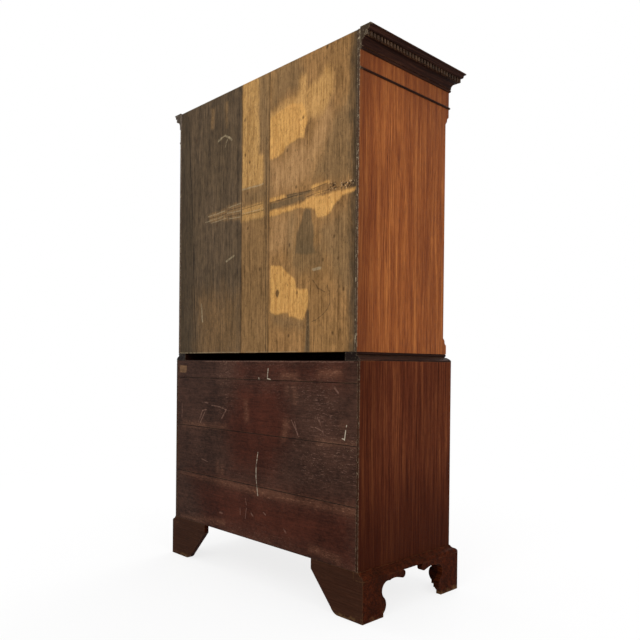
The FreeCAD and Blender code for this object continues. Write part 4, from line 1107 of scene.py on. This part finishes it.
@dataclass
class LowerBack(BoardedBack):
    """The four level boards behind the lower case, stained dark."""

    node: str = "lower_back_boards"
    slot: MaterialSlot = MaterialSlot.LOWER_BACK
    joints: tuple[float, ...] = (0.353, 0.542, 0.737)
    axis: int = 2
    gap: float = 0.0007
    eased: float = 0.0009
    faint: Colour = tone(130, 98, 84)

    def finish(self) -> BoardedPine:
        """The finish of the boards: a thin dark stain under its marks and strokes."""
        return StainedPine("lower back pine", Grain.LEVEL, self.marks(), self.strokes(), tone(30, 17, 12),
                           tone(72, 48, 38), self.faint)

    def marks(self) -> tuple[BoardMark, ...]:
        """The marks on the boards, in the order in which they lie over each other.

        Returns:
            The marks.
        """
        return (
            BoardMark("red", (tone(32, 12, 6), tone(77, 34, 21)), 0.160, 0.78, [
                outline(100, 730, -160, 730, -200, 560, -100, 400, 120, 400, 180, 560),
                outline(400, 345, -500, 345, -500, 160, 300, 160),
                outline(100, 800, -450, 800, -450, 740, 100, 740),
            ], 0.45),
            BoardMark("rubbed", (tone(92, 54, 38), tone(146, 104, 80)), 0.036, 0.85, [
                outline(489, 349, -17, 350, -507, 352, -507, 325, -347, 326, -17, 322, 242, 332, 489, 338),
                outline(468, 556, 169, 561, 159, 545, 468, 536),
                outline(-331, 548, -504, 555, -504, 542, -331, 534),
                outline(-165, 600, -190, 602, -181, 536, -155, 529),
                outline(-175, 719, -174, 690, -184, 690, -184, 719),
                outline(-212, 720, -214, 662, -226, 662, -226, 720),
                outline(-436, 610, -436, 596, -464, 596, -464, 612),
                outline(477, 168, 175, 195, 175, 177, 477, 152),
                outline(-150, 765, -230, 765, -240, 742, -150, 742),
                outline(-330, 775, -440, 778, -440, 755, -330, 752),
                outline(-300, 200, -440, 185, -440, 165, -300, 175),
                outline(230, 412, 230, 372, 220, 372, 220, 412),
                outline(197, 410, 197, 370, 187, 370, 187, 410),
                outline(60, 660, 50, 580, 30, 580, 40, 660),
            ], 0.45, 0.72),
            BoardMark("scrubbed", (tone(120, 90, 62), tone(158, 120, 84)), 0.008, 0.80, [
                outline(497, 787, 497, 756, 444, 756, 443, 785),
            ], 0.2, 0.5),
        )

    def strokes(self) -> tuple[Strokes, ...]:
        """The faint scratches and the chalk strokes.

        Returns:
            The strokes.
        """
        faint = (
            (477, 628, 477, 569, 26), (353, 564, 328, 606, 35), (328, 606, 303, 613, 30), (303, 613, 342, 559, 30),
            (264, 631, 216, 628, 30), (216, 628, 169, 619, 30), (169, 619, 197, 585, 40), (290, 640, 330, 640, 30),
            (-204, 604, -243, 551, 26), (-220, 600, -236, 555, 22), (-323, 588, -357, 578, 24),
            (-357, 578, -364, 560, 24), (-300, 588, -323, 588, 20), (46, 300, 40, 276, 22), (40, 264, 46, 226, 22),
            (78, 262, 76, 236, 22), (205, 222, 188, 220, 50), (-170, 228, -182, 216, 40), (330, 415, 290, 408, 22),
            (-410, 720, -425, 705, 45), (-330, 620, -345, 605, 40), (14, 250, 0, 240, 40), (-60, 264, -70, 258, 40),
            (330, 803, -490, 803, 18),
        )
        chalk = (
            (-24, 477, -16, 430, 21), (-16, 430, -15, 388, 22), (-15, 388, -20, 352, 21), (-21, 350, -26, 321, 22),
            (-77, 778, -74, 743, 26), (-74, 743, -90, 740, 24), (-27, 744, -28, 740, 30),
            (-463, 604, -455, 558, 24), (-455, 560, -445, 562, 24),
        )
        return Strokes(faint, self.faint, 0.42), Strokes(chalk, tone(178, 166, 146), 0.8)


# ---------------------------------------------------------------- geometry nodes


class Maker:
    """A geometry node tree that makes a piece out of a plain shape, with named inputs for its sizes."""

    def __init__(self, name: str, inputs: dict[str, str]) -> None:
        """Starts the tree.

        Args:
            name: what the tree is called.
            inputs: the names and kinds of its inputs, the shape that it starts from first.
        """
        self.tree = bpy.data.node_groups.new(name, "GeometryNodeTree")
        for label, kind in inputs.items():
            self.tree.interface.new_socket(name=label, in_out="INPUT", socket_type="NodeSocket" + kind)
        self.tree.interface.new_socket(name="Piece", in_out="OUTPUT", socket_type="NodeSocketGeometry")
        self.web = Web(self.tree)
        self.given = self.web.add("NodeGroupInput").outputs

    def end(self, shape: Node) -> None:
        """Ends the tree: makes copies real and gives them their finish.

        Args:
            shape: the node whose first output is the finished shape.
        """
        real = self.web.add("GeometryNodeRealizeInstances", {"Geometry": shape.outputs[0]})
        inputs = {"Geometry": real.outputs[0], "Material": self.given["Finish"]}
        dressed = self.web.add("GeometryNodeSetMaterial", inputs)
        self.web.add("NodeGroupOutput", {0: dressed.outputs[0]})

    def run(self, name: str, shape: bpy.types.ID, values: dict[str, object]) -> Piece:
        """Runs the tree on a shape, turns the result into a plain mesh, and clears the worker away.

        Args:
            name: the finished piece's name.
            shape: the mesh or curve that the tree starts from.
            values: what the other inputs take, by name.

        Returns:
            The finished piece.
        """
        worker = new_piece(shape.name, shape)
        modifier = worker.modifiers.new(self.tree.name, "NODES")
        modifier.node_group = self.tree
        for item in self.tree.interface.items_tree:
            if item.item_type == "SOCKET" and item.in_out == "INPUT" and item.name in values:
                modifier[item.identifier] = values[item.name]
        graph = bpy.context.evaluated_depsgraph_get()
        mesh = bpy.data.meshes.new_from_object(worker.evaluated_get(graph), preserve_all_data_layers=True,
                                               depsgraph=graph)
        mesh.name = name
        bpy.data.objects.remove(worker)
        return new_piece(name, mesh)


class Repeater(Maker):
    """Sets one fitting at every point, each turned a little differently."""

    def __init__(self) -> None:
        """Draws up the tree."""
        super().__init__("fitting at every point", {
            "Points": "Geometry", "Fitting": "Object", "Turn": "Float", "Seed": "Int", "Finish": "Material"})
        web, given = self.web, self.given
        fitting = web.add("GeometryNodeObjectInfo", {"Object": given["Fitting"], "As Instance": True})
        spin = web.add("FunctionNodeRandomValue", {"Seed": given["Seed"]}, data_type="FLOAT")
        spin.inputs[2].default_value = -1.0
        turned = web.times(spin.outputs[1], given["Turn"])
        self.end(web.add("GeometryNodeInstanceOnPoints", {
            "Points": given["Points"], "Instance": fitting.outputs["Geometry"],
            "Rotation": web.joined(0.0, turned, 0.0)}))

    def lay(self, name: str, fitting: Mesh, points: list[Place], material: Material, turn: float,
            seed: int = 1) -> Piece:
        """Sets a fitting at each point.

        Args:
            name: the finished piece's name.
            fitting: the mesh that is repeated, about its own origin.
            points: where it goes.
            material: its finish.
            turn: the most that one is turned about its Y axis, in radians.
            seed: the start of the random numbers.

        Returns:
            The finished piece.
        """
        pattern = new_piece(name + "_pattern", fitting)
        mesh = bpy.data.meshes.new(name + "_points")
        mesh.from_pydata(points, [], [])
        piece = self.run(name, mesh, {"Fitting": pattern, "Turn": turn, "Seed": seed, "Finish": material})
        bpy.data.objects.remove(pattern)
        return piece


class BarMaker(Maker):
    """Forges a round bar along a line, swelled at its middle."""

    def __init__(self) -> None:
        """Draws up the tree."""
        super().__init__("round bar along a line", {
            "Line": "Geometry", "Radius": "Float", "Swell": "Float", "Finish": "Material"})
        web, given = self.web, self.given
        share = web.add("GeometryNodeSplineParameter").outputs["Factor"]
        crown = web.maths("POWER", web.maths("SINE", web.times(share, math.pi)), 6.0)
        swelled = web.maths("MULTIPLY_ADD", crown, given["Swell"], 1.0)
        own = web.add("GeometryNodeInputRadius").outputs[0]
        thick = web.add("GeometryNodeSetCurveRadius", {"Curve": given["Line"], "Radius": web.times(swelled, own)})
        ring = web.add("GeometryNodeCurvePrimitiveCircle", {"Resolution": 14, "Radius": given["Radius"]})
        swept = web.add("GeometryNodeCurveToMesh", {
            "Curve": thick.outputs[0], "Profile Curve": ring.outputs[0], "Fill Caps": True,
            "Scale": web.add("GeometryNodeInputRadius").outputs[0]})
        self.end(web.add("GeometryNodeSetShadeSmooth", {0: swept.outputs[0]}))

    def forge(self, name: str, lines: list[tuple[list[Vector], float, bool]], radius: float, swell: float,
              material: Material) -> Piece:
        """Forges bars along lines.

        Args:
            name: the finished piece's name.
            lines: the points of each line, its share of the radius, and whether it closes on itself.
            radius: the bars' radius.
            swell: how much the bars swell at the middle, as a share.
            material: their finish.

        Returns:
            The finished piece.
        """
        curve = bpy.data.curves.new(name + "_line", "CURVE")
        curve.dimensions = "3D"
        for points, share, closed in lines:
            spline = curve.splines.new("POLY")
            spline.points.add(len(points) - 1)
            spline.use_cyclic_u = closed
            for point, place in zip(spline.points, points):
                point.co = (*place, 1)
                point.radius = share
        return self.run(name, curve, {"Radius": radius, "Swell": swell, "Finish": material})


# ---------------------------------------------------------------- brasses


def turned_mesh(name: str, profile: tuple[tuple[int, int], ...], sides: int) -> Mesh:
    """Turns a profile about the Y axis, standing out towards -Y.

    Args:
        name: the mesh's name.
        profile: distance out and radius in tenths of a millimetre, from the seat to the tip.
        sides: how many sides the turning has.

    Returns:
        A closed mesh.
    """
    made = bmesh.new()
    rings = []
    for out, radius in ((out / 10000, radius / 10000) for out, radius in profile):
        angles = (2 * math.pi * number / sides for number in range(sides))
        rings.append([made.verts.new((radius * math.cos(a), -out, radius * math.sin(a))) for a in angles])
    for first, second in zip(rings, rings[1:]):
        for number in range(sides):
            following = (number + 1) % sides
            made.faces.new((first[number], first[following], second[following], second[number]))
    made.faces.new(rings[0])
    made.faces.new(rings[-1])
    bmesh.ops.recalc_face_normals(made, faces=made.faces)
    for face in made.faces:
        face.smooth = len(face.verts) == 4
    return made_mesh(name, made)


def eased_block(name: str, low: Vector, high: Vector, easing: float) -> Mesh:
    """A block with rounded edges.

    Args:
        name: the mesh's name.
        low: the corner with the least X, Y and Z.
        high: the corner with the greatest.
        easing: how far the edges are rounded.

    Returns:
        A closed mesh.
    """
    made = bmesh.new()
    bmesh.ops.create_cube(made, size=1)
    for vertex in made.verts:
        vertex.co = (low + high) / 2 + Vector(a * b for a, b in zip(vertex.co, high - low))
    bmesh.ops.bevel(made, geom=made.edges[:], offset=easing, segments=2, affect="EDGES", profile=0.6)
    return made_mesh(name, made)


def joined_pieces(name: str, pieces: list[Piece], material: Material) -> Piece:
    """Joins pieces at the origin into one, and keeps their smooth and flat faces.

    Args:
        name: the joined piece's name.
        pieces: the pieces, which are cleared away.
        material: the finish of the whole.

    Returns:
        The joined piece.
    """
    made = bmesh.new()
    for piece in pieces:
        made.from_mesh(piece.data)
        bpy.data.objects.remove(piece)
    for face in made.faces:
        face.material_index = 0
    mesh = made_mesh(name, made)
    mesh.materials.append(material)
    return new_piece(name, mesh)


@dataclass
class DrawerBrasses:
    """Handles, keyhole lining, lock and nuts of one drawer, in metres unless a field says otherwise."""

    drawer: str
    handles: Handles
    repeater: Repeater
    bars: BarMaker
    brass: Material
    post_spread: float = 0.045
    handle_drop: float = 0.006
    bead_proud: float = 0.002
    front_thickness: float = 0.020
    pivot_offset: float = 0.0115
    bail_drop: float = 0.034
    bail_start: float = 0.0362
    bail_eye: float = 0.003
    neck_radius: float = 0.018
    shoulder_radius: float = 0.012
    neck_steps: int = 12
    shoulder_steps: int = 16
    grip_steps: int = 6
    bar_radius: float = 0.0021
    bar_swell: float = 0.25
    pin_radius: float = 0.0015
    lock: Place = (0.060, 0.010, 0.038)
    lock_drop: float = 0.006
    lock_easing: float = 0.0008
    keyhole_drop: float = 0.030
    keyhole_radius: float = 0.0032
    keyhole_slot: float = 0.0019
    keyhole_reach: float = 0.0096
    keyhole_tip: float = 0.0006
    keyhole_steps: int = 20
    thread_radius: float = 0.0007
    thread_proud: float = 0.0001
    nut_half: float = 0.006
    nut_thickness: float = 0.004
    nut_easing: float = 0.0006
    nut_turn: float = 0.7
    post_turn: float = 3.0
    post_sides: int = 28
    post_profile_tenths: tuple[tuple[int, int], ...] = (
        (0, 108), (10, 109), (16, 104), (18, 94), (22, 86), (25, 70), (28, 46), (40, 36), (60, 32), (72, 36),
        (80, 43), (95, 48), (115, 49), (133, 46), (145, 38), (152, 28), (158, 26), (165, 24), (170, 12))

    def __post_init__(self) -> None:
        """Finds the drawer front's face, back, middle and edges."""
        low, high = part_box(self.drawer + "_front")
        self.face = low.y + self.bead_proud
        self.back = self.face + self.front_thickness
        self.middle = (low.x + high.x) / 2
        self.top = high.z
        self.post_z = (low.z + high.z) / 2 - self.handle_drop

    def posts(self, y: float) -> list[Place]:
        """Where the posts go through the drawer front, at some depth."""
        return [(self.middle + handle + side * self.post_spread, y, self.post_z)
                for handle in self.handles.value for side in (-1, 1)]

    def at(self, handle: float, x: float, z: float = 0.0) -> Vector:
        """A point of a handle, beside and above its pivot."""
        return Vector((self.middle + handle + x, self.face - self.pivot_offset, self.post_z + z))

    def bail_line(self, handle: float) -> list[Vector]:
        """The line of one bail from eye to eye: hollow necks, round shoulders and a level grip.

        Args:
            handle: how far the handle stands from the middle of the drawer.

        Returns:
            The line's points.
        """
        reach = self.neck_radius + self.shoulder_radius
        sweep = math.asin((self.bail_drop - self.shoulder_radius) / reach)
        half = [(self.bail_start, self.bail_eye), (self.bail_start, self.bail_eye / 2)]
        for step in range(self.neck_steps + 1):
            angle = sweep * step / self.neck_steps
            half.append((self.bail_start + self.neck_radius * (1 - math.cos(angle)),
                         -self.neck_radius * math.sin(angle)))
        centre = self.bail_start + self.neck_radius - reach * math.cos(sweep)
        for step in range(1, self.shoulder_steps + 1):
            angle = sweep - (sweep + math.pi / 2) * step / self.shoulder_steps
            half.append((centre + self.shoulder_radius * math.cos(angle),
                         self.shoulder_radius * (1 + math.sin(angle)) - self.bail_drop))
        half += [(centre * (1 - step / self.grip_steps), -self.bail_drop) for step in range(1, self.grip_steps)]
        whole = half + [(0.0, -self.bail_drop)] + [(-x, z) for x, z in reversed(half)]
        return [self.at(handle, x, z) for x, z in whole]

    def bails(self) -> None:
        """Forges the bails, each on its own body."""
        endings = ["_bail"] if self.handles is Handles.ONE else ["_bail_left", "_bail_right"]
        for handle, ending in zip(self.handles.value, endings):
            node = self.drawer + ending
            lines = [(self.bail_line(handle), 1.0, False)]
            for side in (-1, 1):
                pin = [self.at(handle, side * x) for x in (self.bail_start, self.post_spread)]
                lines.append((pin, self.pin_radius / self.bar_radius, False))
            piece = self.bars.forge(node + "_forged", lines, self.bar_radius, self.bar_swell, self.brass)
            finished(piece, node, node)

    def keyhole_lining(self) -> Piece:
        """Forges the thin raised thread of brass round the keyhole.

        Returns:
            The thread.
        """
        radius, slot, reach = self.keyhole_radius, self.keyhole_slot, self.keyhole_reach
        start = math.asin(slot / radius)
        points = []
        for step in range(self.keyhole_steps + 1):
            angle = -math.pi / 2 + start + (2 * math.pi - 2 * start) * step / self.keyhole_steps
            points.append((radius * math.cos(angle), radius * math.sin(angle)))
        points += [(-slot, -reach * 0.5), (-slot, -reach), (0, -reach - self.keyhole_tip), (slot, -reach),
                   (slot, -reach * 0.5)]
        centre = self.top - self.keyhole_drop
        line = [Vector((self.middle + x, self.face + self.thread_proud, centre + z)) for x, z in points]
        return self.bars.forge(self.drawer + "_lining", [(line, 1.0, True)], self.thread_radius, 0.0, self.brass)

    def lock_case(self) -> Piece:
        """Makes the lock, let into the back of the drawer front.

        Returns:
            The lock's case.
        """
        width, depth, height = self.lock
        top = self.top - self.lock_drop
        mesh = eased_block(self.drawer + "_lock", Vector((self.middle - width / 2, self.back - depth, top - height)),
                           Vector((self.middle + width / 2, self.back, top)), self.lock_easing)
        mesh.materials.append(self.brass)
        return new_piece(mesh.name, mesh)

    def dress(self) -> None:
        """Makes every brass of the drawer."""
        post = turned_mesh(self.drawer + "_post", self.post_profile_tenths, self.post_sides)
        nut = eased_block(self.drawer + "_nut", Vector((-self.nut_half, 0, -self.nut_half)),
                          Vector((self.nut_half, self.nut_thickness, self.nut_half)), self.nut_easing)
        pieces = [
            self.repeater.lay(self.drawer + "_posts", post, self.posts(self.face), self.brass, self.post_turn),
            self.repeater.lay(self.drawer + "_nuts", nut, self.posts(self.back), self.brass, self.nut_turn,
                              seed=len(self.drawer)),
            self.keyhole_lining(), self.lock_case()]
        piece = joined_pieces(self.drawer + "_brassware", pieces, self.brass)
        finished(piece, self.drawer, self.drawer + "_brasses")
        self.bails()


# ---------------------------------------------------------------- the whole chest


@dataclass
class ChestFinishes:
    """Every finish on the chest."""

    shared: SharedNodes = field(default_factory=SharedNodes)

    def __post_init__(self) -> None:
        """Builds the materials."""
        self.made = {surface: finish.material(self.shared) for surface, finish in self.recipes().items()}

    @staticmethod
    def recipes() -> dict[Surface, Finish]:
        """What each surface is finished with.

        Returns:
            The finishes.
        """
        rich = wood_tones((90, 42, 18), (132, 72, 33), (168, 104, 52))
        deep = wood_tones((54, 22, 11), (84, 40, 23), (114, 64, 36))
        dim = wood_tones((20, 8, 5), (36, 17, 11), (60, 34, 23))
        tooth = wood_tones((30, 20, 14), (54, 39, 29), (84, 65, 48))
        flame = wood_tones((88, 36, 15), (132, 64, 28), (176, 106, 50))
        foot = wood_tones((25, 9, 4), (52, 20, 8), (79, 34, 15))
        moulding = {**dim, "band_width": 0.012, "wear": 0.3, "gloss": 0.03}
        up, level, inward = Grain.UPRIGHT, Grain.LEVEL, Grain.DEEP
        return {
            # The sides' slow darkenings are painted shade: the upper side darkens towards its back edge and its top,
            # the lower side towards its back edge and its bottom.
            Surface.UPPER_SIDE: PolishedMahogany(
                "upper side mahogany", up, **rich, band_width=0.02,
                painted_shades=(PaintedShade(1, 0.16, 0.25, 0.45), PaintedShade(2, 1.55, 1.80, 0.35))),
            Surface.LOWER_SIDE: PolishedMahogany(
                "lower side mahogany", up, **deep, unpolished_and_shade=tone(54, 34, 25), chipped=0.25, band_width=0.02,
                gloss=0.01, painted_shades=(PaintedShade(1, 0.12, 0.24, 0.35), PaintedShade(2, 0.62, 0.14, 0.65))),
            Surface.RAIL: PolishedMahogany("rail mahogany", level, **deep, band_width=0.01),
            Surface.DRAWER_FRONT: PolishedMahogany(
                "drawer front mahogany", level, **flame, band_width=0.036, length=8.0, waver=0.08, roughness=0.38,
                gloss=0.15, wear=0.3),
            Surface.FRIEZE: PolishedMahogany("frieze mahogany", level, **rich, band_width=0.02, length=12.0),
            Surface.MOULDING: PolishedMahogany("moulding mahogany", inward, **moulding, chipped=0.3),
            # The waist's faces that look back are painted near-black: painted shade that carries the dark slot between
            # the cases out to its ends.
            Surface.WAIST: PolishedMahogany(
                "waist mahogany", inward, **moulding, unpolished_and_shade=tone(24, 15, 11), chipped=0.15),
            Surface.DENTILS: PolishedMahogany("dentil mahogany", up, **tooth, band_width=0.012, wear=0.3),
            Surface.FOOT: PolishedMahogany(
                "foot mahogany", level, **foot, unpolished_and_shade=tone(60, 37, 26), chipped=0.4, specked=0.0, scuffed=0.5,
                chip=tone(104, 78, 50), band_width=0.014, wear=0.25, gloss=0.01, dust=0.05),
            Surface.LINING: BareWood(
                "drawer lining oak", inward, tone(116, 80, 50), tone(172, 128, 86), tone(88, 60, 38)),
            # The carcass's near-black grime also paints shade into the slot between the cases.
            Surface.CARCASS: BareWood(
                "carcass pine", inward, tone(112, 80, 48), tone(160, 122, 78), tone(20, 14, 10), slot_shade=0.97),
            Surface.BRASS: AgedBrass("aged brass", up, tone(168, 128, 64), tone(96, 70, 38)),
        }

    def dress_nodes(self) -> None:
        """Gives every CAD node the finish of its surface."""
        for name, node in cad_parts.items():
            material = self.made[Surface.of(name)]
            node.data.materials.clear()
            node.data.materials.append(material)
            LOG.info("%s: %s", name, material.name)


@dataclass
class Studio:
    """Pale floor, soft lamps, a white surround, and the camera, low and close behind the chest's left side."""

    floor_size: float = 30.0
    glow_start: float = 0.8
    glow_end: float = 3.0
    surround: float = 0.62
    lamp_size: float = 3.4
    lamp_aim: Place = (0.0, 0.0, 1.0)
    lamps: tuple[tuple[str, Place, float], ...] = (
        ("back lamp", (-1.6, 3.6, 3.4), 95.0), ("side lamp", (-3.8, 0.2, 2.6), 70.0),
        ("front lamp", (1.4, -4.0, 3.2), 110.0), ("far side lamp", (3.8, 0.6, 2.6), 60.0))
    eye: Place = (-1.89656, 1.76097, 0.79184)
    gaze: Place = (0.718195, -0.695787, -0.008919)
    tilt: float = 0.569
    lens: float = 37.455
    sensor: float = 36.0
    rise: float = 0.08

    @staticmethod
    def seen_straight(web: Web) -> Socket:
        """One for rays from the camera, off a mirror or through glass, and nought for the rest.

        Args:
            web: the web of the floor's material or of the surround.

        Returns:
            The ray's share.
        """
        rays = web.add("ShaderNodeLightPath").outputs
        seen = web.maths("ADD", rays["Is Camera Ray"], rays["Is Glossy Ray"])
        return web.maths("ADD", seen, rays["Is Transmission Ray"], clamp=True)

    def floor(self) -> None:
        """A wide pale floor that keeps the chest's shadow."""
        half = self.floor_size / 2
        mesh = bpy.data.meshes.new("studio_floor")
        mesh.from_pydata([(-half, -half, 0), (half, -half, 0), (half, half, 0), (-half, half, 0)], [], [(0, 1, 2, 3)])
        material = bpy.data.materials.new("studio floor")
        web = Web.fresh(material)
        soft = web.noise(web.scaled(web.place(Grain.UPRIGHT), 2, 2), 3)
        pale = web.blend(soft, (0.80, 0.80, 0.80), (0.82, 0.82, 0.82))
        cloth = web.add("ShaderNodeBsdfDiffuse", {"Color": pale})
        glow = web.add("ShaderNodeEmission", {"Color": (1.0, 1.0, 1.0), "Strength": 1.0})
        far = web.measured("LENGTH", web.place(Grain.UPRIGHT))
        share = web.times(self.seen_straight(web), web.span(far, self.glow_start, self.glow_end, 0.8, 1.0))
        mixed = web.add("ShaderNodeMixShader", {0: share, 1: cloth.outputs[0], 2: glow.outputs[0]})
        web.add("ShaderNodeOutputMaterial", {"Surface": mixed.outputs[0]})
        mesh.materials.append(material)
        new_piece("studio_floor", mesh)

    def light(self) -> None:
        """Plain soft light from all round, with a white surround behind the chest."""
        world = bpy.data.worlds.new("studio")
        bpy.context.scene.world = world
        web = Web.fresh(world)
        strength = web.maths("MULTIPLY_ADD", self.seen_straight(web), 1.0 - self.surround, self.surround)
        glow = web.add("ShaderNodeBackground", {"Color": (1.0, 1.0, 1.0), "Strength": strength})
        web.add("ShaderNodeOutputWorld", {"Surface": glow.outputs[0]})
        for name, place, power in self.lamps:
            lamp = bpy.data.lights.new(name, "AREA")
            lamp.shape = "DISK"
            lamp.size = self.lamp_size
            lamp.energy = power
            holder = new_piece(name, lamp)
            holder.location = place
            holder.rotation_euler = (Vector(self.lamp_aim) - Vector(place)).to_track_quat("-Z", "Y").to_euler()

    def camera(self) -> None:
        """The camera, level but for a slight tilt, with its picture raised."""
        lens = bpy.data.cameras.new("camera")
        lens.lens = self.lens
        lens.sensor_width = self.sensor
        lens.sensor_fit = "HORIZONTAL"
        lens.shift_y = self.rise
        holder = new_piece("camera", lens)
        holder.location = self.eye
        level = Vector(self.gaze).to_track_quat("-Z", "Y")
        holder.rotation_euler = (level @ Quaternion((0, 0, 1), math.radians(self.tilt))).to_euler()
        bpy.context.scene.camera = holder

    def build(self) -> None:
        """Sets up the whole studio."""
        self.floor()
        self.light()
        self.camera()
        bpy.context.scene.view_settings.view_transform = "Standard"


def main() -> None:
    """Sets up the studio and dresses the chest."""
    logging.basicConfig(level=logging.INFO, format="%(name)s: %(message)s")
    Studio().build()
    finishes = ChestFinishes()
    finishes.dress_nodes()
    for back in (UpperBack(), LowerBack()):
        back.build(finishes.shared)
    drawers = {
        Handles.ONE: ("short_drawer_left", "short_drawer_right"),
        Handles.TWO: ("upper_drawer_2", "upper_drawer_3", "upper_drawer_4", "lower_drawer_1", "lower_drawer_2",
                      "lower_drawer_3"),
    }
    repeater, bars = Repeater(), BarMaker()
    for handles, names in drawers.items():
        for name in names:
            DrawerBrasses(name, handles, repeater, bars, finishes.made[Surface.BRASS]).dress()


if __name__ == "__main__":
    main()
